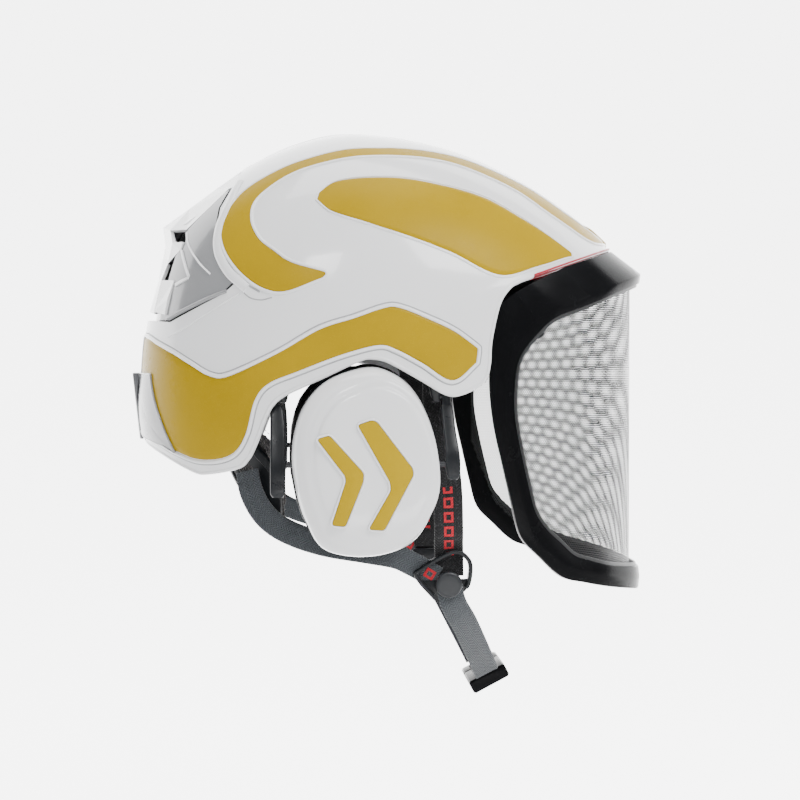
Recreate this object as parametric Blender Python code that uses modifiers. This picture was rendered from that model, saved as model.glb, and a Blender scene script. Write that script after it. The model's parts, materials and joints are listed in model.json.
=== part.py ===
"""Arborist helmet with a lifting mesh visor, ear muffs and a four-point chin harness.

Frame: +X forward, +Y to the wearer's left, +Z up, origin at the centre of the
headband ring.  Lengths below are in millimetres and are scaled to metres by MM.
Right-hand parts (wearer's right, negative Y) carry the suffix _r, left ones _l.
"""

import math

import bmesh
import bpy
from mathutils import Matrix, Vector

MM = 0.001

# ---------------------------------------------------------------- driving sizes
SHELL_CENTRE = (-15.0, 0.0)  # X and Z of the dome's lateral axis
SHELL_HALF_WIDTH = 112.0
SHELL_POWER = 2.2  # superellipse exponent of the dome across
SHELL_WALL = 3.5
LINER_HALF_WIDTH = 81.0
LINER_WALL_SIDE = 2.6
HEAD_RING = (97.0, 78.0)  # half-length and half-width of the headband ring

VISOR_CENTRE_X = 58.0  # plan ellipse of the visor
VISOR_A = 103.0
VISOR_B = 96.0
VISOR_FRAME_T = 5.0
BROW_GAP = 1.5  # the visor frame's clearance ahead of the shell
VISOR_PIVOT = (80.0, 20.0)  # X and Z of the tilt axis
VISOR_SLIDE_ANGLE = 4.0  # degrees above horizontal

CUP_PIVOT = (104.0, -78.0)  # |Y| and Z of the cup's tilt axis
YOKE_PIVOT = (95.2, -40.5)  # |Y| and Z of the yoke's swing axis

STRAP_W = 17.0
STRAP_T = 1.6
CHIN_DIR = (0.887, 0.462)  # X and Z of the chin strap's width direction
GAP = 0.4

# Side outline of the dome in the mid-plane, X and Z, anticlockwise.
OUTLINE = [
    (150, 40), (139.9, 50.6), (117.7, 70.9), (98.7, 84.2), (73.4, 98.1),
    (48.1, 108.9), (22.8, 115.8), (-2.5, 119.6), (-27.8, 120.4),
    (-53.2, 114.5), (-75, 105.5), (-90.5, 97), (-104.4, 87.5), (-120.9, 73),
    (-132, 58), (-138.5, 40), (-144, 20), (-147.5, 0), (-150, -25.3),
    (-151, -50), (-146.2, -78), (-130, -115), (-90, -145), (-40, -158),
    (20, -155), (75, -135), (120, -95), (146, -45), (154, 0),
]

# Lower and front edge of the shell in side view, front to rear.
EDGE = [
    (143.0, 51.2), (126.6, 45.4), (94.3, 33.8), (69.5, 24.8), (62.0, 19.0),
    (57.0, 10.0), (52.7, -8.9), (51.9, -22.0), (49.5, -31.0), (42.7, -36.0),
    (33.5, -39.2), (26.5, -38.0), (13.7, -30.6), (0.0, -23.0), (-6.5, -19.9),
    (-13.5, -18.6), (-21.0, -19.8), (-43.1, -30.1), (-61.1, -38.3),
    (-69.0, -44.5), (-73.5, -53.0), (-79.0, -67.4), (-83.5, -76.0),
    (-89.0, -80.5), (-106.8, -84.3), (-115.8, -83.0), (-140.3, -71.5),
    (-165.0, -60.0),
]


# ---------------------------------------------------------------- small maths
def hermite(y0, y1, m0, m1, t):
    a, b = t * t, t * t * t
    return ((2 * b - 3 * a + 1) * y0 + (b - 2 * a + t) * m0
            + (3 * a - 2 * b) * y1 + (b - a) * m1)


def smooth(points, steps, closed=False):
    """Points on a Catmull-Rom curve through points, with steps per span."""
    pts = [Vector(p) for p in points]
    n = len(pts)
    out = []
    spans = n if closed else n - 1
    for i in range(spans):
        p1, p2 = pts[i], pts[(i + 1) % n]
        p0 = pts[i - 1] if closed or i else p1 * 2 - p2
        p3 = pts[(i + 2) % n] if closed or i + 2 < n else p2 * 2 - p1
        for k in range(steps):
            t = k / steps
            out.append(0.5 * (p1 * 2 + (p2 - p0) * t
                              + (p0 * 2 - p1 * 5 + p2 * 4 - p3) * t * t
                              + (p1 * 3 - p0 - p2 * 3 + p3) * t * t * t))
    if not closed:
        out.append(pts[-1])
    return out


def resample(points, count, closed=False):
    """count points at equal distances along a polyline."""
    pts = [Vector(p) for p in points]
    if closed:
        pts.append(pts[0])
    run = [0.0]
    for a, b in zip(pts[:-1], pts[1:]):
        run.append(run[-1] + (b - a).length)
    out = []
    last = count if closed else count - 1
    for k in range(count):
        d = run[-1] * k / last
        i = max(j for j in range(len(run) - 1) if run[j] <= d + 1e-9)
        span = run[i + 1] - run[i]
        t = 0.0 if span < 1e-9 else (d - run[i]) / span
        out.append(pts[i].lerp(pts[i + 1], t))
    return out


def polar_table():
    cx, cz = SHELL_CENTRE
    rows = [(math.atan2(z - cz, x - cx), math.hypot(x - cx, z - cz))
            for x, z in OUTLINE]
    rows.sort()
    turn = 2 * math.pi
    return ([(a - turn, r) for a, r in rows] + rows
            + [(a + turn, r) for a, r in rows])


TABLE = polar_table()


def dome_radius(angle):
    angle = (angle + math.pi) % (2 * math.pi) - math.pi
    i = max(j for j in range(len(TABLE)) if TABLE[j][0] <= angle)
    (x0, y0), (x1, y1) = TABLE[i], TABLE[i + 1]
    (xa, ya), (xb, yb) = TABLE[i - 1], TABLE[i + 2]
    h = x1 - x0
    return hermite(y0, y1, h * (y1 - ya) / (x1 - xa),
                   h * (yb - y0) / (xb - x0), (angle - x0) / h)


def dome_point(angle, rise, off=0.0, half=None, power=None, off_r=None):
    """A point of the dome: angle around the lateral axis, rise from the
    mid-plane (0) to the side (90 degrees), off outward of the shell."""
    power = power or SHELL_POWER
    half = (half if half is not None else SHELL_HALF_WIDTH + off)
    grow = off if off_r is None else off_r
    s = abs(math.cos(rise)) ** (2 / power)
    w = abs(math.sin(rise)) ** (2 / power) * (1 if rise >= 0 else -1)
    r = (dome_radius(angle) + grow) * s
    return Vector((SHELL_CENTRE[0] + r * math.cos(angle), half * w,
                   SHELL_CENTRE[1] + r * math.sin(angle)))


def dome_coords(x, y, z):
    """Angle and rise of the dome point nearest to (x, y, z)."""
    dx, dz = x - SHELL_CENTRE[0], z - SHELL_CENTRE[1]
    angle = math.atan2(dz, dx)
    s = math.hypot(dx, dz) / dome_radius(angle)
    w = abs(y) / SHELL_HALF_WIDTH
    k = (s ** SHELL_POWER + w ** SHELL_POWER) ** (1 / SHELL_POWER)
    s, w = s / k, w / k
    return angle, math.atan2(w ** (SHELL_POWER / 2), s ** (SHELL_POWER / 2))


# ---------------------------------------------------------------- scene set-up
for old in list(bpy.data.objects):
    bpy.data.objects.remove(old, do_unlink=True)
for block in (bpy.data.meshes, bpy.data.curves, bpy.data.materials):
    for item in list(block):
        if item.users == 0:
            block.remove(item)

parts = bpy.data.collections.new("arborist_helmet")
cutters = bpy.data.collections.new("cutters")
bpy.context.scene.collection.children.link(parts)
bpy.context.scene.collection.children.link(cutters)


def material(name, colour, rough, metal=0.0, alpha=1.0):
    mat = bpy.data.materials.new(name)
    mat.use_nodes = True
    shader = mat.node_tree.nodes["Principled BSDF"]
    shader.inputs["Base Color"].default_value = (*colour, 1.0)
    shader.inputs["Roughness"].default_value = rough
    shader.inputs["Metallic"].default_value = metal
    shader.inputs["Alpha"].default_value = alpha
    return mat


COLOURS = {
    "shell": ((0.83, 0.84, 0.85), 0.22, 0.0),
    "gold": ((0.62, 0.42, 0.04), 0.35, 0.0),
    "clear": ((0.75, 0.78, 0.80), 0.12, 0.0),
    "grey": ((0.30, 0.31, 0.33), 0.35, 0.0),
    "black": ((0.018, 0.019, 0.021), 0.38, 0.0),
    "dark": ((0.035, 0.040, 0.048), 0.34, 0.0),
    "mesh": ((0.05, 0.05, 0.055), 0.45, 0.8),
    "red": ((0.55, 0.01, 0.04), 0.40, 0.0),
    "foam": ((0.045, 0.045, 0.05), 0.9, 0.0),
    "pad": ((0.04, 0.038, 0.042), 0.95, 0.0),
    "web_black": ((0.015, 0.015, 0.017), 0.85, 0.0),
    "web_grey": ((0.13, 0.145, 0.155), 0.85, 0.0),
    "steel": ((0.5, 0.5, 0.52), 0.3, 1.0),
}


def place(name, mesh, look, parent=None, origin=(0, 0, 0)):
    """A named part whose mesh is in millimetres of the helmet's frame."""
    origin = Vector(origin)
    mesh.transform(Matrix.Translation(-origin))
    mesh.transform(Matrix.Scale(MM, 4))
    colour, rough, metal = COLOURS[look]
    mesh.materials.clear()
    mesh.materials.append(material(name, colour, rough, metal))
    obj = bpy.data.objects.new(name, mesh)
    parts.objects.link(obj)
    obj.location = origin * MM
    if parent is not None:
        obj.location = origin * MM - parent.location
        obj.parent = parent
    return obj


def empty(name, origin):
    obj = bpy.data.objects.new(name, None)
    obj.empty_display_size = 0.01
    parts.objects.link(obj)
    obj.location = Vector(origin) * MM
    return obj


def cutter(name, mesh):
    mesh.transform(Matrix.Scale(MM, 4))
    obj = bpy.data.objects.new(name, mesh)
    cutters.objects.link(obj)
    obj.hide_render = True
    obj.display_type = "WIRE"
    return obj


def boolean(obj, other, operation="DIFFERENCE"):
    mod = obj.modifiers.new(operation.lower() + "_" + other.name, "BOOLEAN")
    mod.operation = operation
    mod.solver = "EXACT"
    mod.object = other
    return mod


def to_mesh(bm, name, smooth_faces=True):
    bmesh.ops.recalc_face_normals(bm, faces=bm.faces[:])
    if bm.calc_volume(signed=True) < 0:
        bmesh.ops.reverse_faces(bm, faces=bm.faces[:])
    mesh = bpy.data.meshes.new(name)
    bm.to_mesh(mesh)
    bm.free()
    if smooth_faces:
        mesh.shade_smooth()
        mesh.set_sharp_from_angle(angle=math.radians(35))
    return mesh


def joined(bms):
    """One bmesh holding several, for solids that already meet as one."""
    out = bmesh.new()
    for bm in bms:
        mesh = bpy.data.meshes.new("t")
        bm.to_mesh(mesh)
        bm.free()
        out.from_mesh(mesh)
        bpy.data.meshes.remove(mesh)
    return out


# ---------------------------------------------------------------- shape makers
def box(low, high):
    bm = bmesh.new()
    bmesh.ops.create_cube(bm, size=1.0)
    low, high = Vector(low), Vector(high)
    size = high - low
    bmesh.ops.scale(bm, vec=size, verts=bm.verts)
    bmesh.ops.translate(bm, vec=(low + high) / 2, verts=bm.verts)
    return bm


def rod(a, b, r, sides=12, r2=None):
    a, b = Vector(a), Vector(b)
    bm = bmesh.new()
    bmesh.ops.create_cone(bm, cap_ends=True, segments=sides, radius1=r,
                          radius2=r if r2 is None else r2,
                          depth=(b - a).length)
    turn = (b - a).to_track_quat("Z", "Y").to_matrix().to_4x4()
    bmesh.ops.transform(bm, matrix=Matrix.Translation((a + b) / 2) @ turn,
                        verts=bm.verts)
    return bm


def plate(outline, low, high, side=None):
    """A flat outline in X and Z, filled and extruded along Y from low to high.
    With side -1 or 1 the two are distances out from the mid-plane."""
    if side is not None:
        low, high = sorted((side * low, side * high))
    curve = bpy.data.curves.new("outline", "CURVE")
    curve.dimensions = "2D"
    curve.fill_mode = "BOTH"
    curve.extrude = (high - low) / 2
    spline = curve.splines.new("POLY")
    spline.points.add(len(outline) - 1)
    for point, (x, z) in zip(spline.points, outline):
        point.co = (x, z, 0, 1)
    spline.use_cyclic_u = True
    holder = bpy.data.objects.new("outline", curve)
    parts.objects.link(holder)
    graph = bpy.context.evaluated_depsgraph_get()
    mesh = bpy.data.meshes.new_from_object(holder.evaluated_get(graph))
    bpy.data.objects.remove(holder, do_unlink=True)
    bpy.data.curves.remove(curve)
    bm = bmesh.new()
    bm.from_mesh(mesh)
    bpy.data.meshes.remove(mesh)
    bmesh.ops.remove_doubles(bm, verts=bm.verts, dist=0.001)
    turn = Matrix(((1, 0, 0, 0), (0, 0, -1, (low + high) / 2),
                   (0, 1, 0, 0), (0, 0, 0, 1)))
    bmesh.ops.transform(bm, matrix=turn, verts=bm.verts)
    return bm


def loft(rings, closed_path=False):
    """Quads between rings of equal length; the two ends get caps."""
    bm = bmesh.new()
    grid = [[bm.verts.new(p) for p in ring] for ring in rings]
    n = len(rings[0])
    count = len(rings) if closed_path else len(rings) - 1
    for i in range(count):
        a, b = grid[i], grid[(i + 1) % len(grid)]
        for j in range(n):
            k = (j + 1) % n
            bm.faces.new((a[j], a[k], b[k], b[j]))
    if not closed_path:
        bm.faces.new(list(reversed(grid[0])))
        bm.faces.new(grid[-1])
    return bm


def ribbon(points, across, width, thick, taper=None):
    """A flat strap of constant section: across gives the width direction."""
    pts = [Vector(p) for p in points]
    rings = []
    for i, p in enumerate(pts):
        ahead = pts[min(i + 1, len(pts) - 1)] - pts[max(i - 1, 0)]
        ahead.normalize()
        w = Vector(across[i]) if isinstance(across, list) else Vector(across)
        w = (w - ahead * w.dot(ahead)).normalized()
        n = ahead.cross(w).normalized()
        half = width / 2 * (taper[i] if taper else 1.0)
        rings.append([p + w * half + n * thick / 2, p - w * half + n * thick / 2,
                      p - w * half - n * thick / 2, p + w * half - n * thick / 2])
    return loft(rings)


def sphere(half, off_r, power=SHELL_POWER, segments=40, rings=20):
    """The dome as a closed solid, from a UV sphere with its poles at the sides."""
    bm = bmesh.new()
    bmesh.ops.create_uvsphere(bm, u_segments=segments, v_segments=rings, radius=1)
    for v in bm.verts:
        rise = math.asin(max(-1.0, min(1.0, v.co.z)))
        angle = math.atan2(v.co.y, v.co.x)
        v.co = dome_point(angle, rise, half=half, power=power, off_r=off_r)
    return bm


def patch(lower, upper, along, across, off, name, look, thick, parent=None,
          side=-1):
    """A thin plate that follows the dome, between two boundary curves."""
    bm = bmesh.new()
    bmesh.ops.create_grid(bm, x_segments=along, y_segments=across, size=1)
    low = resample(smooth(lower, 6), along + 1)
    top = resample(smooth(upper, 6), along + 1)
    for v in bm.verts:
        u, t = (v.co.x + 1) / 2, (v.co.y + 1) / 2
        i = min(round(u * along), along)
        angle, rise = dome_coords(*low[i].lerp(top[i], t))
        v.co = dome_point(angle, rise * side, off=off)
    centre = Vector((SHELL_CENTRE[0], 0, SHELL_CENTRE[1]))
    bm.normal_update()
    turned = sum(1 if f.normal.dot(f.calc_center_median() - centre) < 0 else -1
                 for f in bm.faces)
    if turned > 0:
        bmesh.ops.reverse_faces(bm, faces=bm.faces[:])
    mesh = bpy.data.meshes.new(name)
    bm.to_mesh(mesh)
    bm.free()
    mesh.shade_smooth()
    obj = place(name, mesh, look, parent)
    mod = obj.modifiers.new("thickness", "SOLIDIFY")
    mod.thickness = thick * MM
    mod.offset = 1.0
    mod.use_even_offset = True
    return obj


# ================================================================= outer shell
shell = place("outer_shell",
              to_mesh(sphere(SHELL_HALF_WIDTH, 0.0), "outer_shell"), "shell")
hollow = cutter("shell_hollow", to_mesh(
    sphere(SHELL_HALF_WIDTH - SHELL_WALL, -SHELL_WALL), "shell_hollow"))
boolean(shell, hollow)
keep = cutter("shell_keep", to_mesh(
    plate(EDGE + [(-165, 140), (165, 140), (165, 52)], -140, 140),
    "shell_keep", False))
boolean(shell, keep, "INTERSECT")

# The rear vent window: a lateral prism behind, kept above the lower band.
VENT = [(-170, 8), (-128, 2), (-96, 17), (-88, 24), (-95, 36), (-101, 52),
        (-99, 68), (-92, 82), (-84, 104), (-110, 104), (-170, 80)]
vent_cut = cutter("vent_cut", to_mesh(plate(VENT, -140, 140), "vent_cut", False))
boolean(shell, vent_cut)

# The insert fills that window with a 0.6 mm joint, and has two slots a side.
vent = place("rear_vent_insert", to_mesh(
    sphere(SHELL_HALF_WIDTH - 0.6, -0.6), "rear_vent_insert"), "clear")
vent_in = cutter("vent_hollow", to_mesh(
    sphere(SHELL_HALF_WIDTH - 3.4, -3.4), "vent_hollow"))
boolean(vent, vent_in)
VENT_IN = [(-170, 9), (-128.2, 3.0), (-97, 17.8), (-89.2, 24.3), (-95.8, 36.2),
           (-101.7, 52), (-99.7, 68.2), (-92.8, 82.2), (-87.2, 95.5),
           (-109, 95.5), (-170, 79)]
vent_keep = cutter("vent_keep", to_mesh(
    plate(VENT_IN, -140, 140), "vent_keep", False))
boolean(vent, vent_keep, "INTERSECT")
for s, tag in ((-1, "r"), (1, "l")):
    lo, hi = sorted((s * 10, s * 40))
    boolean(vent, cutter("vent_slot_upper_" + tag, to_mesh(
        box((-150, lo, 52), (-100, hi, 68)), "vent_slot_upper")))
    boolean(vent, cutter("vent_slot_lower_" + tag, to_mesh(
        box((-160, lo, 22), (-104, hi, 42)), "vent_slot_lower")))

# Crown vent strip along the middle of the roof.
bm = bmesh.new()
bmesh.ops.create_grid(bm, x_segments=12, y_segments=4, size=1)
for v in bm.verts:
    u, t = (v.co.x + 1) / 2, v.co.y
    angle = math.radians(84 + 38 * u)
    v.co = dome_point(angle, 0.13 * t * (0.55 + 0.45 * math.sin(math.pi * u)),
                      off=0.6)
bm.normal_update()
if sum(f.normal.z for f in bm.faces) < 0:
    bmesh.ops.reverse_faces(bm, faces=bm.faces[:])
mesh = bpy.data.meshes.new("crown_vent_strip")
bm.to_mesh(mesh)
bm.free()
strip = place("crown_vent_strip", mesh, "clear")
solid = strip.modifiers.new("thickness", "SOLIDIFY")
solid.thickness = 1.8 * MM
solid.offset = 1.0

# Rear clip: a trapezoid plate on the back of the lower band.
# Its rear face is one plane, from (-155.2, -27) down to (-151.9, -68).
clip = place("rear_clip", to_mesh(loft([
    [(x, -w, z), (x, w, z), (back, w - 2, z), (back, -w + 2, z)]
    for x, w, z, back in (
        (x, w, z, -155.2 - 3.3 * (z + 27) / 41)
        for x, w, z in ((-151.4, 19, -27), (-152.3, 17, -42),
                        (-151.2, 13, -58), (-149.4, 10, -68)))]),
    "rear_clip", False), "grey")

# Coloured panels on the shell.
CROWN_OUT = [(139.5, 14, 53.5), (136.5, 25, 55.5), (125.3, 37, 58.5),
             (106, 45, 69), (87.4, 45, 82), (61.2, 48, 94), (36.1, 52, 102),
             (5.4, 59, 104.1), (-12.4, 63, 103.1), (-44.4, 65.5, 97.8),
             (-65.8, 65, 90.2), (-87, 66.5, 75.8), (-97.5, 75.2, 57.5),
             (-97.8, 80.4, 49), (-93.5, 88.1, 37.7), (-83.8, 96.1, 26),
             (-72, 102, 18.5), (-60, 105.8, 17.5), (-40, 108.5, 25)]
CROWN_IN = [(131, 40, 51.5), (123, 50.5, 51), (113.9, 57.5, 55),
            (93.6, 61.2, 67), (74.2, 59.5, 80.2), (54.3, 60.6, 89.3),
            (29.2, 63, 96.8), (-1.7, 69.1, 98.3), (-28.5, 73.1, 95.6),
            (-55.4, 72.8, 87.9), (-70.8, 74.8, 78.3), (-79.2, 78.1, 69.3),
            (-80.7, 84.8, 58.9), (-76.1, 92.9, 48), (-68, 98, 41),
            (-58, 103.3, 34), (-38.5, 108.7, 28)]
TEAR_LOW = [(-44, 92, 70), (-35, 97.7, 62.2), (-14.6, 102.3, 55.2),
            (1.9, 103.6, 49.7), (29.9, 103.4, 39.4), (57.7, 101.1, 26.8),
            (80, 91, 32.5), (98.5, 80, 38.8), (104.5, 76, 40.2)]
TEAR_TOP = [(-43, 90, 74), (-35, 87, 80.5), (-23.9, 86, 82.9),
            (3.5, 83.5, 84.2), (27.2, 81.7, 80.7), (51.9, 78.2, 74.6),
            (71.1, 77.9, 64.5), (90.6, 76.7, 52.1), (104.8, 75, 42.2)]
BAND_TOP = [(45.5, 106, -13.5), (32, 108.8, -4), (18, 110.5, 2.5),
            (0.8, 111.4, 9), (-8, 111.7, 8.6), (-24, 111.4, 3),
            (-43.1, 110.3, -3.2), (-66, 105.9, -16.3), (-92.7, 95.7, -28.4),
            (-104, 90, -28.6), (-116, 80, -21.5), (-128.4, 65.8, -14),
            (-142, 39.8, -6.5), (-147, 21, -5)]
BAND_LOW = [(44.8, 106, -21.5), (31, 107.4, -32), (14, 110, -22.5),
            (-1, 111.5, -14.7), (-11, 111.7, -12.5), (-31.6, 111.2, -18),
            (-54.5, 108.1, -26.8), (-70.5, 103.9, -33.4), (-78, 100.5, -42.5),
            (-83.4, 95.7, -61.8), (-92, 89, -74), (-109, 77.5, -77.4),
            (-126, 62.9, -72.5), (-139, 42, -64), (-146.5, 21, -60)]
for s, tag in ((-1, "r"), (1, "l")):
    patch(CROWN_IN, CROWN_OUT, 32, 3, 0.9, "crown_stripe_" + tag, "gold", 0.9,
          side=s)
    patch(TEAR_LOW, TEAR_TOP, 14, 5, 0.8, "brow_panel_" + tag, "gold", 0.9,
          side=s)
    patch(BAND_LOW, BAND_TOP, 22, 4, 0.8, "side_band_" + tag, "gold", 0.9,
          side=s)

# ================================================================= inner liner
liner = place("inner_liner", to_mesh(
    sphere(LINER_HALF_WIDTH, -11.0, power=2.5, segments=28, rings=14),
    "inner_liner"), "foam")
liner_in = cutter("liner_hollow", to_mesh(
    sphere(LINER_HALF_WIDTH - LINER_WALL_SIDE, -26.0, power=2.5, segments=28,
           rings=14), "liner_hollow"))
boolean(liner, liner_in)
LINER_EDGE = [(150, 62), (112, 50), (80, 38), (56, 28), (46, 10), (40, -12),
              (26, -22), (8, -12), (-14, -6), (-40, -14), (-62, -24),
              (-78, -40), (-90, -62), (-112, -68), (-150, -58)]
liner_keep = cutter("liner_keep", to_mesh(
    plate(LINER_EDGE + [(-160, 140), (165, 140)], -140, 140),
    "liner_keep", False))
boolean(liner, liner_keep, "INTERSECT")

# Headband ring, fixed to the liner, and its pads.
def ring_points(a, b, n, z=0.0, x0=0.0, start=0.0, stop=2 * math.pi):
    return [Vector((x0 + a * math.cos(start + (stop - start) * k / n),
                    b * math.sin(start + (stop - start) * k / n), z))
            for k in range(n)]


def band_ring(a, b, t, z0, z1, n=36):
    rings = []
    for k in range(n):
        c, q = math.cos(2 * math.pi * k / n), math.sin(2 * math.pi * k / n)
        rings.append([Vector((a * c, b * q, z0)),
                      Vector(((a + t) * c, (b + t) * q, z0)),
                      Vector(((a + t) * c, (b + t) * q, z1)),
                      Vector((a * c, b * q, z1))])
    return loft(rings, closed_path=True)


place("headband", to_mesh(band_ring(92, 74.6, 1.8, -9, 9), "headband", False),
      "dark")

# Brow pad: a curved cushion inside the front of the headband.
rings = []
for k in range(15):
    q = math.radians(-58 + 116 * k / 14)
    c, t = math.cos(q), 4.2 + 2.6 * math.cos(q)
    rings.append([Vector(((91.5 - d) * c, (74.1 - d) * math.sin(q), z))
                  for d, z in ((0, -10), (0, 10), (t, 7), (t, -7))])
place("brow_pad", to_mesh(loft(rings), "brow_pad"), "pad")

# Crown pad: a soft disc under the liner's roof.
bm = bmesh.new()
bmesh.ops.create_uvsphere(bm, u_segments=20, v_segments=8, radius=1)
for v in bm.verts:
    x, y, z = v.co
    v.co = (-24 + 46 * x, 34 * y, 77 + 5.5 * z - 0.0032 * ((46 * x) ** 2
            + (34 * y) ** 2))
place("crown_pad", to_mesh(bm, "crown_pad"), "pad")

# ================================================================= visor
visor_axis = empty("visor_axis", (VISOR_PIVOT[0], 0, VISOR_PIVOT[1]))


def visor_y(x, inset=0.0):
    a, b = VISOR_A - inset, VISOR_B - inset
    if x <= VISOR_CENTRE_X:
        return b
    t = (x - VISOR_CENTRE_X) / a
    return b * math.sqrt(max(0.0, 1 - t * t))


def visor_plan(q, inset=0.0):
    """Plan point at angle q from straight ahead."""
    return (VISOR_CENTRE_X + (VISOR_A - inset) * math.cos(q),
            (VISOR_B - inset) * math.sin(q))


# Half of the frame, from the middle of the brow round to the middle of the
# chin bar: rear or outer edge, ridge and inner edge as (x, |y|, z).
FRAME_HALF = [
    ((142.5, 0, 47.6), (162.5, 0, 35.5), (160.9, 0, 29.5)),
    ((139.5, 22, 46.6), (158.5, 22, 34.5), (157.2, 22, 28.6)),
    ((129.0, 45, 43.0), (149.6, 44, 31.0), (148.4, 44.5, 25.4)),
    ((112.0, 68.5, 36.4), (131.0, 67, 24.6), (129.5, 68, 18.6)),
    ((94.0, 83.0, 30.0), (112.0, 80.5, 17.2), (111.0, 80.5, 11.5)),
    ((78.0, 92.0, 24.2), (94.0, 89.5, 10.8), (92.0, 89.8, 4.2)),
    ((68.0, 95.2, 18.6), (80.0, 93.6, 3.0), (80.0, 93.2, -6.5)),
    ((60.0, 95.4, 12.0), (69.5, 95.6, -9.0), (71.5, 94.8, -18.0)),
    ((55.2, 95.6, -6.0), (63.0, 96.4, -24.0), (68.4, 95.2, -31.0)),
    ((53.4, 95.6, -32.0), (62.0, 96.6, -44.0), (68.0, 95.2, -50.0)),
    ((55.6, 95.6, -56.0), (64.4, 96.6, -66.0), (71.4, 95.0, -70.0)),
    ((61.0, 95.6, -80.0), (69.6, 96.4, -88.0), (76.0, 94.4, -90.0)),
    ((66.2, 95.2, -102.0), (74.6, 95.8, -107.0), (80.6, 93.6, -106.5)),
    ((71.6, 94.8, -120.5), (80.6, 94.8, -122.0), (87.6, 91.8, -116.8)),
    ((83.0, 92.4, -132.5), (90.0, 92.4, -131.0), (96.0, 89.2, -124.6)),
    ((97.0, 88.4, -144.6), (101.0, 88.0, -138.6), (105.0, 85.2, -132.6)),
    ((112.0, 81.6, -149.0), (114.0, 81.0, -142.6), (116.0, 79.2, -136.6)),
    ((129.0, 69.6, -153.4), (130.0, 69.4, -147.0), (130.6, 68.4, -141.0)),
    ((148.5, 45.5, -158.4), (149.4, 45.4, -151.6), (149.0, 45.0, -145.0)),
    ((157.2, 23, -161.6), (158.4, 23, -154.4), (157.8, 23, -147.6)),
    ((159.8, 0, -162.6), (161.4, 0, -155.4), (160.6, 0, -148.6)),
]


def inward(p, d):
    """Move a point of the frame by d towards the plan ellipse's middle."""
    x, y, z = p
    n = Vector(((x - VISOR_CENTRE_X) / VISOR_A ** 2
                if x > VISOR_CENTRE_X else 0.0, y / VISOR_B ** 2, 0))
    if n.length < 1e-9:
        n = Vector((1, 0, 0))
    n.normalize()
    return Vector((x - n.x * d, y - n.y * d, z))


def on_plan(p, out=0.0):
    """The point of the visor's plan ellipse in line with p, moved out."""
    x, y, z = p
    dx = max(0.0, x - VISOR_CENTRE_X)
    k = 1 / math.hypot(dx / VISOR_A, y / VISOR_B)
    return inward((VISOR_CENTRE_X + dx * k if dx > 0 else x, y * k, z), -out)


def edge_z(x):
    for (x1, z1), (x0, z0) in zip(EDGE[:4], EDGE[1:4]):
        if x >= x0 or (x0, z0) == EDGE[3]:
            return z0 + (x - x0) * (z1 - z0) / (x1 - x0)


def brow_x(y):
    """X of the dome's surface on the brow cut, at a distance y from the middle."""
    low, high = 40.0, 160.0
    for _ in range(40):
        x = (low + high) / 2
        dx, dz = x - SHELL_CENTRE[0], edge_z(x) - SHELL_CENTRE[1]
        s = math.hypot(dx, dz) / dome_radius(math.atan2(dz, dx))
        w = SHELL_HALF_WIDTH * max(0.0, 1 - s ** SHELL_POWER) ** (1 / SHELL_POWER)
        low, high = (x, high) if w > y else (low, x)
    return low


def brow_rear(y, out):
    """A point ahead of the shell's brow cut, by out, and just under its level."""
    x = brow_x(y)
    n = Vector((x - 30, y * 0.9, 0)).normalized()
    return Vector((x + n.x * out, y + n.y * out, edge_z(x) - 1.0))


def frame_ring(row, side):
    a, b, c = row
    brow = a[2] > 18
    t = 3.6 if 60 < c[0] < 112 and c[2] > -20 else VISOR_FRAME_T
    b, c = on_plan(b, 0.8), on_plan(c)
    a = Vector(a) if brow else on_plan(a)
    if b[2] > 14:
        a = brow_rear(a.y, BROW_GAP if b[2] > 20 else 0.9)
    back = a + Vector((-1.0, 0, -4.6)) if brow else inward(a, t)
    if brow and a[1] > 60:
        back = a + Vector((0.6, 0, -3.6))
    pts = [a, b, c, inward(c, t), back]
    return [Vector((p.x, p.y * side, p.z)) for p in pts]


near = [frame_ring(row, -1) for row in FRAME_HALF]
far = [frame_ring(row, 1) for row in FRAME_HALF[-2:0:-1]]
visor = place("visor_frame", to_mesh(loft(near + far, closed_path=True),
                                     "visor_frame"), "black", visor_axis,
              (VISOR_PIVOT[0], 0, VISOR_PIVOT[1]))

# Mesh pane: a thin curved sheet behind the frame's inner lip.
PANE_INSET = VISOR_FRAME_T + 0.7
PANE_T = 0.8


def pane_edges(q):
    """Top and bottom heights of the pane at plan angle q."""
    x, y = visor_plan(q, PANE_INSET)
    top = 6.6 + (x - 90) * 0.33
    if x < 92:
        top = -12.0 + (x - 76.0) * 1.16
    if x < 76:
        top = -12.0 + (x - 76.0) * 2.4
    bottom = -128.4 - (x - 96) * 0.33
    if x < 96:
        bottom = -128.4 + (96 - x) * 0.95
    if x < 84:
        bottom = -117.0 + (84 - x) * 2.6
    return top, bottom


bm = bmesh.new()
NQ, NH = 22, 2
bmesh.ops.create_grid(bm, x_segments=NQ, y_segments=NH, size=1)
for v in bm.verts:
    q = v.co.x * math.radians(80.0)
    x, y = visor_plan(q, PANE_INSET)
    top, bottom = pane_edges(abs(q))
    v.co = (x, y, bottom + (top - bottom) * (v.co.y + 1) / 2)
bm.normal_update()
if sum(f.normal.x for f in bm.faces) < 0:
    bmesh.ops.reverse_faces(bm, faces=bm.faces[:])
mesh = bpy.data.meshes.new("visor_mesh")
bm.to_mesh(mesh)
bm.free()
pane = place("visor_mesh", mesh, "mesh", visor_axis,
             (VISOR_PIVOT[0], 0, VISOR_PIVOT[1]))
solid = pane.modifiers.new("thickness", "SOLIDIFY")
solid.thickness = PANE_T * MM
solid.offset = -1.0

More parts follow.
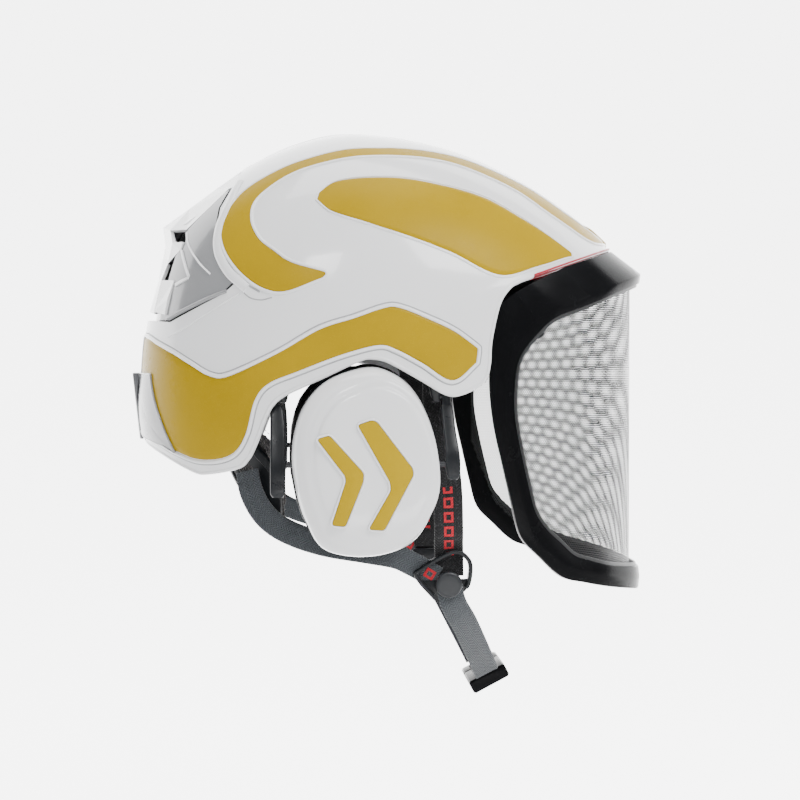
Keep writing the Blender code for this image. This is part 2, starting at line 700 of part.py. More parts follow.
# Brow seal: a thin red strip under the shell's front edge.
def seal_ring(q):
    y = 94.5 * math.sin(q)
    x = brow_x(abs(y))
    n = Vector((x - 30, y * 0.9, 0)).normalized()
    out = []
    for a, b in ((0.5, 0.75), (3.2, 0.75), (3.2, 2.2), (0.5, 2.2)):
        px = x - n.x * a
        out.append(Vector((px, y - n.y * a, edge_z(px) - b)))
    return out


place("brow_seal", to_mesh(loft([seal_ring(math.radians(-86 + 172 * k / 24))
                                 for k in range(25)]), "brow_seal"), "red")

SLOPE = math.tan(math.radians(VISOR_SLIDE_ANGLE))


def arm_line(x, rise):
    return (x, VISOR_PIVOT[1] + (x - VISOR_PIVOT[0]) * SLOPE + rise)


for s, tag in ((-1, "r"), (1, "l")):
    # Sliding arm: flat bar with a round front eye on the tilt axis.
    eye = [(VISOR_PIVOT[0] + 6.5 * math.cos(math.radians(d)),
            VISOR_PIVOT[1] + 6.5 * math.sin(math.radians(d)))
           for d in range(-75, 76, 15)]
    outline = [arm_line(-14, -6.5)] + eye + [arm_line(-14, 6.5)]
    arm = place("visor_arm_" + tag, to_mesh(
        plate(outline, 84.2, 87.2, s), "visor_arm", False), "black")
    hole = cutter("arm_hole_" + tag, to_mesh(
        rod((VISOR_PIVOT[0], s * 80, VISOR_PIVOT[1]),
            (VISOR_PIVOT[0], s * 92, VISOR_PIVOT[1]), 2.35), "arm_hole"))
    boolean(arm, hole)
    # Pivot bracket: an ear on the visor that reaches the tilt axis.
    ear = [(74, 25), (74, 15), (79, 12.5), (92, 11.5), (93, 19), (88, 24.5)]
    bracket = place("visor_bracket_" + tag, to_mesh(
        plate(ear, 79.8, 83.4, s), "visor_bracket", False), "black",
        visor_axis, (VISOR_PIVOT[0], 0, VISOR_PIVOT[1]))
    boolean(bracket, cutter("bracket_foot_" + tag, to_mesh(
        plate([(87.3, 12.3), (91.6, 12.2), (92, 18.6), (87.3, 18.6)], 81, 85.0, s),
        "bracket_foot", False)), "UNION")
    # Pin with a head, from the bracket through the arm's eye.
    place("visor_pin_" + tag, to_mesh(
        loft([[Vector((VISOR_PIVOT[0] + r * math.cos(math.radians(30 * k)),
                       s * y, VISOR_PIVOT[1] + r * math.sin(math.radians(30 * k))))
               for k in range(12)]
              for y, r in ((83.7, 2.0), (87.5, 2.0), (87.5, 3.6), (88.1, 3.6))]),
        "visor_pin"), "steel", visor_axis, (VISOR_PIVOT[0], 0, VISOR_PIVOT[1]))
    # Rail: a sleeve on the liner in which the arm slides.
    rail = place("visor_rail_" + tag, to_mesh(plate(
        [arm_line(-36, -10), arm_line(44, -10), arm_line(44, 10),
         arm_line(-36, 10)], 81.6, 90.2, s), "visor_rail", False), "dark")
    slot = cutter("rail_slot_" + tag, to_mesh(plate(
        [arm_line(-60, -7.0), arm_line(60, -7.0), arm_line(60, 7.0),
         arm_line(-60, 7.0)], 83.7, 87.7, s), "rail_slot", False))
    boolean(rail, slot)

# ================================================================= ear muffs
CUP = [(-17, -24), (-2, -27.6), (9, -37), (17, -51.6), (21.9, -69),
       (23.5, -89), (19.4, -104), (7, -121.6), (-16, -128.4), (-40, -124.4),
       (-50.4, -109), (-56.4, -89), (-58, -68.6), (-52.4, -47), (-39, -31.6)]


def cup_ring(scale, d, side, n=22, shift=(0, 0), inset=0.0):
    pts = resample(smooth([(x, z, 0) for x, z in CUP], 6, closed=True), n, True)
    cx, cz = -17.0, -76.5
    out = []
    for p in pts:
        v = Vector((p.x - cx, p.y - cz))
        k = scale * (v.length - inset) / v.length
        out.append(Vector((cx + v.x * k + shift[0], side * d,
                           cz + v.y * k + shift[1])))
    return out


for s, tag in ((-1, "r"), (1, "l")):
    lift = empty("muff_lift_" + tag, (-15, s * YOKE_PIVOT[0], 15))
    swing = empty("muff_swing_axis_" + tag, (-20, s * YOKE_PIVOT[0],
                                             YOKE_PIVOT[1]))
    swing.location = swing.location - lift.location
    swing.parent = lift
    tilt_origin = (-17, s * CUP_PIVOT[0], CUP_PIVOT[1])
    # Guide sleeve, fixed to the shell.
    guide = place("muff_guide_" + tag, to_mesh(
        plate([(-26, 6), (-4, 6), (-4, 30), (-26, 30)], 91.2, 104.2, s),
        "muff_guide", False), "dark")
    boolean(guide, cutter("guide_slot_" + tag, to_mesh(
        plate([(-20.6, -10), (-9.4, -10), (-9.4, 60), (-20.6, 60)],
              92.8, 97.6, s), "guide_slot", False)))
    # Slider: an inverted U with a stem in the sleeve.
    outline = [(-20, 38), (-10, 38), (-10, 1), (8, 0), (20, -10), (24.5, -22),
               (25.4, -44), (20.8, -44), (17, -26), (7, -11), (-2, -8),
               (-50, -10), (-58, -16), (-60, -26), (-60.6, -44), (-64.8, -44),
               (-65.4, -22), (-60, -8), (-48, 0), (-20, 1)]
    slider = place("muff_slider_" + tag, to_mesh(
        plate(outline, 93.2, 97.2, s), "muff_slider", False), "dark")
    boolean(slider, cutter("slider_holes_" + tag, to_mesh(
        rod((-80, s * YOKE_PIVOT[0], YOKE_PIVOT[1]),
            (40, s * YOKE_PIVOT[0], YOKE_PIVOT[1]), 1.75), "slider_holes")))
    # Two legs, each with a swing pin at the top and a cup pin lower down.
    for leg, sections, inner in (
            ("rear", ((-36, -65.4, -69.4, 92.8, 97.2),
                      (-44, -65.4, -69.8, 92.9, 97.4),
                      (-47, -63.0, -70.0, 93.2, 98.0),
                      (-60, -61.6, -70.0, 97.0, 102.2),
                      (-78, -61.4, -70.0, 101, 107),
                      (-88, -61.6, -70.0, 101.4, 107.4),
                      (-96, -61.8, -70.0, 101.6, 107.2)), -1),
            ("front", ((-36, 26.0, 30.6, 92.8, 97.2),
                       (-44, 26.0, 31.4, 92.9, 97.4),
                       (-47, 25.4, 32.4, 93.2, 98.0),
                       (-60, 26.4, 33.6, 97.0, 102.2),
                       (-72, 27.2, 35.2, 100.6, 106.4),
                       (-80, 27.4, 35.6, 101, 107),
                       (-87, 28.6, 35.0, 101.4, 106.6)), 1)):
        rings = [[Vector((x0, s * a, z)), Vector((x1, s * a, z)),
                  Vector((x1, s * b, z)), Vector((x0, s * b, z))]
                 for z, x0, x1, a, b in sections]
        body = place("yoke_leg_%s_%s" % (leg, tag), to_mesh(
            loft(rings), "yoke_leg"), "dark")
        if leg == "rear":
            pins = (((-66.4, -60.2), YOKE_PIVOT, 1.45),
                    ((-62.6, -54.6), CUP_PIVOT, 1.8))
        else:
            pins = (((27.4, 21.0), YOKE_PIVOT, 1.45),
                    ((28.6, 20.4), CUP_PIVOT, 1.8))
        for (x0, x1), (d, z), r in pins:
            boolean(body, cutter("pin_%s_%s_%d" % (leg, tag, r * 10), to_mesh(
                rod((x0, s * d, z), (x1, s * d, z), r, 10), "pin")), "UNION")
    # Cup: a hollow egg with a rounded back.
    rings = [cup_ring(k, d, s, inset=i) for k, d, i in (
        (0.80, 121.4, 0), (0.93, 113, 2.6), (1.0, 104, 3.0), (1.0, 92.2, 3.0),
        (1.0, 92.2, 0), (1.0, 112, 0), (0.985, 117, 0.4), (0.93, 122, 1.0),
        (0.80, 125.2, 1.0), (0.45, 126.2, 0))]
    cup = place("ear_cup_" + tag, to_mesh(loft(rings), "ear_cup"), "shell",
                origin=tilt_origin)
    boolean(cup, cutter("cup_holes_" + tag, to_mesh(
        rod((-66, s * CUP_PIVOT[0], CUP_PIVOT[1]),
            (32, s * CUP_PIVOT[0], CUP_PIVOT[1]), 2.1, 10), "cup_holes")))
    # Chevrons on the cup's face.
    for which, outline in (
            ("rear", [(-44.5, -65.5), (-37.8, -63.6), (-19.4, -84), (-19.8, -88.6),
                      (-29.4, -112.6), (-36.6, -111.8), (-29, -88.4),
                      (-29.4, -85.4)]),
            ("front", [(-22.6, -58), (-15, -55.4), (-12.2, -56.4), (7, -81.6),
                       (7.4, -85), (-8.4, -114.8), (-16.6, -114.2), (-4.6, -93.2),
                       (-5.2, -88.8)])):
        place("cup_chevron_%s_%s" % (which, tag), to_mesh(
            plate(outline, 126.6, 127.4, s), "chevron", False), "gold",
            origin=tilt_origin)
    # Cushion ring and the foam behind it.
    rings = []
    sections = [(1.02, 91.4, 0), (1.05, 86, 0), (0.98, 80, 0), (0.80, 79.4, 0),
                (0.66, 83, 0), (0.66, 91.4, 0)]
    grid = [cup_ring(k, d, s) for k, d, _ in sections]
    turned = [[grid[j][i] for j in range(len(grid))] for i in range(22)]
    place("ear_cushion_" + tag, to_mesh(loft(turned, closed_path=True),
                                        "ear_cushion"), "black",
          origin=tilt_origin)
    place("cup_foam_" + tag, to_mesh(
        loft([cup_ring(0.78, 112, s), cup_ring(0.84, 99, s)]),
        "cup_foam"), "foam", origin=tilt_origin)

# ================================================================= nape cradle
WING = [(-103, 0, -62, 26), (-102, 20, -63, 26), (-97.5, 40, -67, 28),
        (-90, 54, -77, 34), (-80, 62.5, -88, 38), (-70, 67, -98, 34),
        (-65.5, 68.4, -106, 20)]


def cradle_path(inset, cut=0.0, side=1):
    out = []
    for x, y, z, h in WING:
        n = Vector((x * 0.8, y, 0)).normalized()
        out.append((x - n.x * inset, side * (y - n.y * inset), z, h))
    return out


def cradle(rows, thick, grow=0.0):
    rings = []
    for x, y, z, h in rows:
        n = Vector((x * 0.8, y, 0)).normalized()
        hh = h / 2 + grow
        rings.append([Vector((x, y, z - hh)), Vector((x, y, z + hh)),
                      Vector((x - n.x * thick, y - n.y * thick, z + hh)),
                      Vector((x - n.x * thick, y - n.y * thick, z - hh))])
    return loft(rings)


def full(inset):
    half_r = cradle_path(inset, side=-1)[::-1]
    return half_r + cradle_path(inset)[1:]


nape = place("nape_cradle", to_mesh(cradle(full(0.0), 3.0), "nape_cradle"), "dark")
for s, tag in ((-1, "r"), (1, "l")):
    boolean(nape, cutter("cradle_slot_" + tag, to_mesh(
        plate([(-91, -83), (-84, -79), (-76, -86), (-80, -92)], 50, 76, s),
        "cradle_slot", False)))
place("nape_pad", to_mesh(cradle(full(3.5), 4.5, 3.0), "nape_pad"), "pad")

# Size adjuster: knob behind the cradle and its pinion.
knob_at = Vector((-104, 0, -62))
rings = []
for x, r in ((-103.4, 11), (-104.4, 12.5), (-111, 12.5), (-112.4, 11)):
    rings.append([Vector((x, r * math.cos(math.radians(15 * k))
                          * (1 if k % 2 else 0.94),
                          -62 + r * math.sin(math.radians(15 * k))
                          * (1 if k % 2 else 0.94))) for k in range(24)])
place("size_knob", to_mesh(loft(rings), "size_knob", False), "dark",
      origin=knob_at)

# ================================================================= harness
for s, tag in ((-1, "r"), (1, "l")):
    # Anchor lug inside the shell, then the front strap down to the fork.
    place("strap_anchor_" + tag, to_mesh(plate(
        [(14, -14), (34, -14), (34, -4), (24, 0), (14, -4)], 84.4, 89.6, s),
        "strap_anchor", False), "dark")
    top = [(24.4, 86.2 * s, -14.8), (24.8, 84.0 * s, -27), (25.6, 78.4 * s, -42),
           (28.2, 77.2 * s, -66), (31.6, 76.6 * s, -94), (32.8, 74.8 * s, -118),
           (33.4, 72.6 * s, -128.9)]
    place("front_strap_" + tag, to_mesh(ribbon(
        smooth(top, 2), (1, 0, 0), STRAP_W, STRAP_T), "front_strap"), "web_black")
    # Fork: a rounded triangular buckle that gathers the two straps.
    outline = resample(smooth([(35, -130.2, 0), (45.5, -135.4, 0),
                               (46.5, -146, 0), (42.6, -154.6, 0),
                               (29, -161.8, 0), (21, -156, 0),
                               (12.6, -145.4, 0), (15.6, -140.6, 0)], 4, True),
                       18, True)
    fork = place("strap_fork_" + tag, to_mesh(plate(
        [(p.x, p.y) for p in outline], 69.0, 74.6, s), "strap_fork", False), "dark")
    boolean(fork, cutter("fork_pocket_" + tag, to_mesh(
        rod((32.6, 72.4 * s, -150), (32.6, 80 * s, -150), 8.2, 16), "pocket")))
    place("fork_button_" + tag, to_mesh(loft(
        [[Vector((32.6 + r * math.cos(math.radians(22.5 * k)), s * d,
                  -150 + r * math.sin(math.radians(22.5 * k))))
          for k in range(16)]
         for d, r in ((74.2, 7.7), (76.6, 7.7), (77.4, 6.6))]), "fork_button"),
        "dark", origin=(32.6, 74.6 * s, -150))
    # Rear strap: from the cradle's wing, sagging forward to the fork.
    path = [(-84, 66.2 * s, -84), (-81, 68.6 * s, -97), (-73, 70.8 * s, -110),
            (-60, 72.2 * s, -119), (-40, 72.8 * s, -126), (-15, 72.8 * s, -130.6),
            (2, 72.4 * s, -134), (10.6, 72 * s, -138.6)]
    ways = [(0.8, 0.25 * s, 0.3), (0.75, 0.1 * s, 0.4), (0.6, 0, 0.75),
            (0.4, -0.1 * s, 0.9), (0.2, -0.15 * s, 1), (0.1, -0.1 * s, 1),
            (0.2, 0, 1), (0.35, 0, 0.95)]
    place("rear_strap_" + tag, to_mesh(ribbon(
        smooth(path, 2), smooth(ways, 2), 14.0, STRAP_T, None),
        "rear_strap"), "web_grey")
    # Chin strap: from the fork down to the buckle under the chin.
    path = [(36.2, 70 * s, -163.6), (43.4, 62 * s, -175), (53, 44 * s, -194),
            (59.4, 30 * s, -207), (62.6, 22.4 * s, -213.8)]
    place("chin_strap_" + tag, to_mesh(ribbon(
        smooth(path, 2), (CHIN_DIR[0], 0, CHIN_DIR[1]), 15.5, STRAP_T),
        "chin_strap"), "web_grey")

# Chin buckle: socket on the right, tongue on the left, in the mid-plane.
turn = Matrix.Translation((64.4, 0, -218)) @ Matrix.Rotation(
    -math.atan2(CHIN_DIR[1], CHIN_DIR[0]), 4, "Y")


def turned_box(low, high, name, round_by=1.2):
    bm = box(low, high)
    bmesh.ops.bevel(bm, geom=bm.edges[:], offset=round_by, segments=1,
                    affect="EDGES")
    bmesh.ops.transform(bm, matrix=turn, verts=bm.verts)
    return to_mesh(bm, name, False)


socket = place("chin_buckle_socket", turned_box((-12.5, -21, -4.2), (12.5, 6, 4.2),
                                                "chin_buckle_socket"), "black")
boolean(socket, cutter("socket_mouth", turned_box(
    (-10, -12, -2.4), (10, 30, 2.4), "socket_mouth", 0.2)))
tongue = place("chin_buckle_tongue", turned_box((-12.5, 6.6, -3.8), (12.5, 21, 3.8),
                                                "chin_buckle_tongue"), "black")
boolean(tongue, cutter("tongue_blade", turned_box(
    (-9.2, -10, -1.9), (9.2, 10, 1.9), "tongue_blade", 0.2)), "UNION")
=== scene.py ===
"""Looks of the arborist helmet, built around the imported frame.

Everything is in millimetres of the helmet's frame until MM scales it to metres:
+X forward, +Y to the wearer's left, +Z up.  The right side faces the camera.
"""

import json
import math

import bmesh
import bpy
import numpy as np
from mathutils import Matrix, Vector, noise

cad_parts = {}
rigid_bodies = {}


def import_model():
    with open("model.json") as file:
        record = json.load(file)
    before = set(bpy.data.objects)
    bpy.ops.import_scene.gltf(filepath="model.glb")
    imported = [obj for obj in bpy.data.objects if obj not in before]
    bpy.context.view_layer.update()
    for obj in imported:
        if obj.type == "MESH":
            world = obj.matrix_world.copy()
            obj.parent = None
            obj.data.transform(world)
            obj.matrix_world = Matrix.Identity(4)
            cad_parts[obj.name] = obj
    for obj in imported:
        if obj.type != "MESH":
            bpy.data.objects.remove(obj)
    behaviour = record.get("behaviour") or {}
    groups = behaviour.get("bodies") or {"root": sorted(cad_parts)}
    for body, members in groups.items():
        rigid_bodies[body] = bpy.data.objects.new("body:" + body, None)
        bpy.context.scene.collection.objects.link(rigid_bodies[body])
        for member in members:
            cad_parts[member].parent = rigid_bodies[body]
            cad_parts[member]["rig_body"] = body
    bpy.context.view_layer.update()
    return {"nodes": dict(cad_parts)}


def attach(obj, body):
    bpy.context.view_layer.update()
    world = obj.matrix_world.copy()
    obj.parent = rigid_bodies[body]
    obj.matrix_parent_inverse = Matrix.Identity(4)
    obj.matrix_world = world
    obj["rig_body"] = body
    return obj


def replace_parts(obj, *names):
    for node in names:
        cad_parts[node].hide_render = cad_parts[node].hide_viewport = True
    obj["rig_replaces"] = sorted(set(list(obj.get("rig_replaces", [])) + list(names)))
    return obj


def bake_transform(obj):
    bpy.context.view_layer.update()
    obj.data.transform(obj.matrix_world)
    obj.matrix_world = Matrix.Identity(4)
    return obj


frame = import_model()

MM = 0.001
NODES = frame["nodes"]

# =============================================================== dome geometry
CENTRE = (-15.0, 0.0)
HALF = 112.0
POWER = 2.2
WALL = 3.5
OUTLINE = [
    (150, 40), (139.9, 50.6), (117.7, 70.9), (98.7, 84.2), (73.4, 98.1),
    (48.1, 108.9), (22.8, 115.8), (-2.5, 119.6), (-27.8, 120.4),
    (-53.2, 114.5), (-75, 105.5), (-90.5, 97), (-104.4, 87.5), (-120.9, 73),
    (-132, 58), (-138.5, 40), (-144, 20), (-147.5, 0), (-150, -25.3),
    (-151, -50), (-146.2, -78), (-130, -115), (-90, -145), (-40, -158),
    (20, -155), (75, -135), (120, -95), (146, -45), (154, 0),
]
EDGE = [
    (143.0, 51.2), (126.6, 45.4), (94.3, 33.8), (69.5, 24.8), (62.0, 19.0),
    (57.0, 10.0), (52.7, -8.9), (51.9, -22.0), (49.5, -31.0), (42.7, -36.0),
    (33.5, -39.2), (26.5, -38.0), (13.7, -30.6), (0.0, -23.0), (-6.5, -19.9),
    (-13.5, -18.6), (-21.0, -19.8), (-43.1, -30.1), (-61.1, -38.3),
    (-69.0, -44.5), (-73.5, -53.0), (-79.0, -67.4), (-83.5, -76.0),
    (-89.0, -80.5), (-106.8, -84.3), (-115.8, -83.0), (-140.3, -71.5),
    (-165.0, -60.0),
]


def hermite(y0, y1, m0, m1, t):
    a, b = t * t, t * t * t
    return ((2 * b - 3 * a + 1) * y0 + (b - 2 * a + t) * m0
            + (3 * a - 2 * b) * y1 + (b - a) * m1)


def polar_table():
    rows = sorted((math.atan2(z - CENTRE[1], x - CENTRE[0]),
                   math.hypot(x - CENTRE[0], z - CENTRE[1]))
                  for x, z in OUTLINE)
    turn = 2 * math.pi
    return ([(a - turn, r) for a, r in rows] + rows
            + [(a + turn, r) for a, r in rows])


TABLE = polar_table()
TA = np.array([a for a, r in TABLE])
TR = np.array([r for a, r in TABLE])


def radius(angle):
    angle = (np.asarray(angle, float) + math.pi) % (2 * math.pi) - math.pi
    i = np.searchsorted(TA, angle, side="right") - 1
    h = TA[i + 1] - TA[i]
    m0 = h * (TR[i + 1] - TR[i - 1]) / (TA[i + 1] - TA[i - 1])
    m1 = h * (TR[i + 2] - TR[i]) / (TA[i + 2] - TA[i])
    return hermite(TR[i], TR[i + 1], m0, m1, (angle - TA[i]) / h)


def field(p):
    """Below 1 inside the dome and above 1 outside it."""
    dx, dz = p[:, 0] - CENTRE[0], p[:, 2] - CENTRE[1]
    s = np.hypot(dx, dz) / radius(np.arctan2(dz, dx))
    w = np.abs(p[:, 1]) / HALF
    return (s ** POWER + w ** POWER) ** (1 / POWER)


def normals(p):
    """Outward unit normals of the dome at points on or near it."""
    p = np.asarray(p, float).reshape(-1, 3)
    g = np.zeros_like(p)
    for k in range(3):
        d = np.zeros(3)
        d[k] = 0.6
        g[:, k] = field(p + d) - field(p - d)
    return g / np.linalg.norm(g, axis=1)[:, None]


def on_dome(p, off=0.0):
    """Points slid towards the dome's middle onto it, then out by off."""
    p = np.asarray(p, float).reshape(-1, 3)
    c = np.array([CENTRE[0], 0.0, CENTRE[1]])
    q = c + (p - c) / field(p)[:, None]
    return q + normals(q) * np.asarray(off, float).reshape(-1, 1)


def dome_width(x, z):
    dx, dz = x - CENTRE[0], z - CENTRE[1]
    s = math.hypot(dx, dz) / float(radius(math.atan2(dz, dx)))
    return HALF * max(0.0, 1 - s ** POWER) ** (1 / POWER)


def catmull(points, steps, closed=False):
    p = np.asarray(points, float)
    n = len(p)
    out = []
    for i in range(n if closed else n - 1):
        p1, p2 = p[i], p[(i + 1) % n]
        p0 = p[i - 1] if closed or i else 2 * p1 - p2
        p3 = p[(i + 2) % n] if closed or i + 2 < n else 2 * p2 - p1
        for k in range(steps):
            t = k / steps
            out.append(0.5 * (2 * p1 + (p2 - p0) * t
                              + (2 * p0 - 5 * p1 + 4 * p2 - p3) * t * t
                              + (3 * p1 - p0 - 3 * p2 + p3) * t ** 3))
    if not closed:
        out.append(p[-1])
    return np.array(out)


def resample(points, count, closed=False):
    p = np.asarray(points, float)
    if closed:
        p = np.vstack([p, p[:1]])
    d = np.concatenate([[0], np.cumsum(np.linalg.norm(np.diff(p, axis=0), axis=1))])
    want = np.linspace(0, d[-1], count + 1 if closed else count)
    if closed:
        want = want[:-1]
    return np.stack([np.interp(want, d, p[:, k]) for k in range(p.shape[1])], 1)


def path_length(points, closed=False):
    p = np.asarray(points, float)
    if closed:
        p = np.vstack([p, p[:1]])
    return float(np.linalg.norm(np.diff(p, axis=0), axis=1).sum())


# =============================================================== mesh making
def unit(v):
    v = np.asarray(v, float)
    return v / max(1e-12, np.linalg.norm(v))


def make(name, verts, faces, mat, body="helmet", slot=None, replaces=(),
         smooth=35, flip=None, uvs=None):
    """A piece from a list of points in millimetres and faces."""
    mesh = bpy.data.meshes.new(name)
    mesh.from_pydata([tuple(v) for v in np.asarray(verts, float) * MM], [],
                     [tuple(int(i) for i in f) for f in faces])
    mesh.update()
    if flip is not False:
        bm = bmesh.new()
        bm.from_mesh(mesh)
        bmesh.ops.recalc_face_normals(bm, faces=bm.faces[:])
        if flip or (flip is None and bm.calc_volume(signed=True) < 0):
            bmesh.ops.reverse_faces(bm, faces=bm.faces[:])
        bm.to_mesh(mesh)
        bm.free()
    if smooth:
        mesh.shade_smooth()
        if smooth < 180:
            mesh.set_sharp_from_angle(angle=math.radians(smooth))
    if uvs is not None:
        layer = mesh.uv_layers.new(name="UVMap")
        index = np.zeros(len(mesh.loops), np.int32)
        mesh.loops.foreach_get("vertex_index", index)
        layer.data.foreach_set("uv", np.asarray(uvs, np.float32)[index].ravel())
    return finish_piece(name, mesh, mat, body, replaces)


def finish_piece(name, mesh, mat, body="helmet", replaces=()):
    mesh.materials.clear()
    mesh.materials.append(mat)
    obj = bpy.data.objects.new(name, mesh)
    bpy.context.scene.collection.objects.link(obj)
    if body:
        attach(obj, body)
    if replaces:
        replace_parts(obj, *replaces)
    return obj


def bake(obj):
    """Applies an object's modifiers to its mesh."""
    graph = bpy.context.evaluated_depsgraph_get()
    mesh = bpy.data.meshes.new_from_object(obj.evaluated_get(graph))
    obj.modifiers.clear()
    old = obj.data
    obj.data = mesh
    bpy.data.meshes.remove(old)
    return obj


def tube_faces(rows, cols, closed_rows=False, closed_cols=True):
    faces = []
    for i in range(rows if closed_rows else rows - 1):
        for j in range(cols if closed_cols else cols - 1):
            a, b = i * cols + j, i * cols + (j + 1) % cols
            c = ((i + 1) % rows) * cols + (j + 1) % cols
            d = ((i + 1) % rows) * cols + j
            faces.append((a, b, c, d))
    return faces


def sweep(name, path, across, section, mat, closed=False, body="helmet",
          slot=None, replaces=(), smooth=35, scale=None, join=True):
    """A section (points across and out) carried along a path.  across gives at
    each point the section's first direction; the second is square to both."""
    p = np.asarray(path, float)
    n = len(p)
    sec = np.asarray(section, float)
    verts, uvs = [], []
    run = 0.0
    for i in range(n):
        a = p[i - 1] if closed or i else p[i]
        b = p[(i + 1) % n] if closed or i + 1 < n else p[i]
        t = unit(b - a)
        w = np.asarray(across[i] if np.ndim(across) == 2 else across, float)
        w = unit(w - t * w.dot(t))
        o = np.cross(t, w)
        k = 1.0 if scale is None else scale[i]
        if i:
            run += float(np.linalg.norm(p[i] - p[i - 1]))
        for u, v in sec * k:
            verts.append(p[i] + w * u + o * v)
            uvs.append((u * MM, run * MM))
    m = len(sec)
    faces = tube_faces(n, m, closed_rows=closed)
    if not closed:
        faces.append(tuple(range(m)))
        faces.append(tuple((n - 1) * m + k for k in range(m)))
    return make(name, verts, faces, mat, body, slot, replaces, smooth, uvs=uvs)


def bead(name, path, width, height, mat, closed=False, off=0.0, body="helmet",
         slot="shell_white", sink=1.2, parts=9, join_to=None, replaces=()):
    """A rounded raised line that follows the dome along a path."""
    q = on_dome(path, off)
    n = normals(q)
    count = len(q)
    verts = []
    for i in range(count):
        a = q[i - 1] if closed or i else q[i]
        b = q[(i + 1) % count] if closed or i + 1 < count else q[i]
        t = unit(b - a)
        side = unit(np.cross(t, n[i]))
        for k in range(parts):
            h = math.pi * k / (parts - 1)
            verts.append(q[i] + side * math.cos(h) * width / 2
                         + n[i] * math.sin(h) * height)
        verts.append(q[i] - side * width * 0.42 - n[i] * sink)
        verts.append(q[i] + side * width * 0.42 - n[i] * sink)
    m = parts + 2
    faces = tube_faces(count, m, closed_rows=closed)
    if not closed:
        faces.append(tuple(range(m)))
        faces.append(tuple((count - 1) * m + k for k in range(m)))
    return make(name, verts, faces, mat, body, slot, replaces, smooth=50)


def join(name, objs):
    """Several pieces made one."""
    bm = bmesh.new()
    for o in objs:
        bm.from_mesh(o.data)
    first = objs[0]
    mats = first.data.materials[0]
    mesh = bpy.data.meshes.new(name)
    bm.to_mesh(mesh)
    bm.free()
    mesh.materials.append(mats)
    replaced = sorted(set(n for o in objs for n in o.get("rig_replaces", [])))
    old = first.data
    first.data = mesh
    first.name = name
    mesh.name = name
    bpy.data.meshes.remove(old)
    for o in objs[1:]:
        data = o.data
        bpy.data.objects.remove(o, do_unlink=True)
        bpy.data.meshes.remove(data)
    if replaced:
        first["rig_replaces"] = replaced
    return first


def bevel(obj, width, segments=2, angle=28):
    mod = obj.modifiers.new("bevel", "BEVEL")
    mod.width = width * MM
    mod.segments = segments
    mod.limit_method = "ANGLE"
    mod.angle_limit = math.radians(angle)
    mod.harden_normals = False
    bake(obj)
    obj.data.shade_smooth()
    obj.data.set_sharp_from_angle(angle=math.radians(35))
    return obj


def cut(obj, verts, faces, operation="DIFFERENCE"):
    """One exact Boolean with a closed helper mesh, applied."""
    mesh = bpy.data.meshes.new("helper")
    mesh.from_pydata([tuple(v) for v in np.asarray(verts, float) * MM], [],
                     [tuple(int(i) for i in f) for f in faces])
    bm = bmesh.new()
    bm.from_mesh(mesh)
    bmesh.ops.recalc_face_normals(bm, faces=bm.faces[:])
    if bm.calc_volume(signed=True) < 0:
        bmesh.ops.reverse_faces(bm, faces=bm.faces[:])
    bm.to_mesh(mesh)
    bm.free()
    helper = bpy.data.objects.new("helper", mesh)
    bpy.context.scene.collection.objects.link(helper)
    mod = obj.modifiers.new("cut", "BOOLEAN")
    mod.operation = operation
    mod.solver = "EXACT"
    mod.object = helper
    bake(obj)
    bpy.data.objects.remove(helper, do_unlink=True)
    bpy.data.meshes.remove(mesh)
    return obj


def prism(outline, y0, y1):
    """A closed side outline (x, z) as a solid between two heights in Y."""
    n = len(outline)
    verts = [(x, y0, z) for x, z in outline] + [(x, y1, z) for x, z in outline]
    faces = [(i, (i + 1) % n, n + (i + 1) % n, n + i) for i in range(n)]
    faces += [tuple(range(n)), tuple(range(n, 2 * n))]
    return verts, faces


# =============================================================== materials
def nodes_of(name):
    mat = bpy.data.materials.new(name)
    mat.use_nodes = True
    tree = mat.node_tree
    return mat, tree, tree.nodes["Principled BSDF"]


def add(tree, kind, **values):
    node = tree.nodes.new(kind)
    for key, value in values.items():
        if key in node.inputs:
            node.inputs[key].default_value = value
        else:
            setattr(node, key, value)
    return node


def texture_noise(tree, scale, detail=4.0, rough=0.55, source="Object"):
    coord = add(tree, "ShaderNodeTexCoord")
    tex = add(tree, "ShaderNodeTexNoise", Scale=scale, Detail=detail,
              Roughness=rough)
    tree.links.new(coord.outputs[source], tex.inputs["Vector"])
    return tex


def ramp(tree, source, stops):
    node = add(tree, "ShaderNodeValToRGB")
    elements = node.color_ramp.elements
    while len(elements) > 1:
        elements.remove(elements[-1])
    elements[0].position = stops[0][0]
    elements[0].color = stops[0][1]
    for position, colour in stops[1:]:
        e = elements.new(position)
        e.color = colour
    tree.links.new(source, node.inputs["Fac"])
    return node


def grey(v):
    return (v, v, v, 1.0)


def tint(colour, k):
    return (min(1, colour[0] * k), min(1, colour[1] * k), min(1, colour[2] * k), 1)


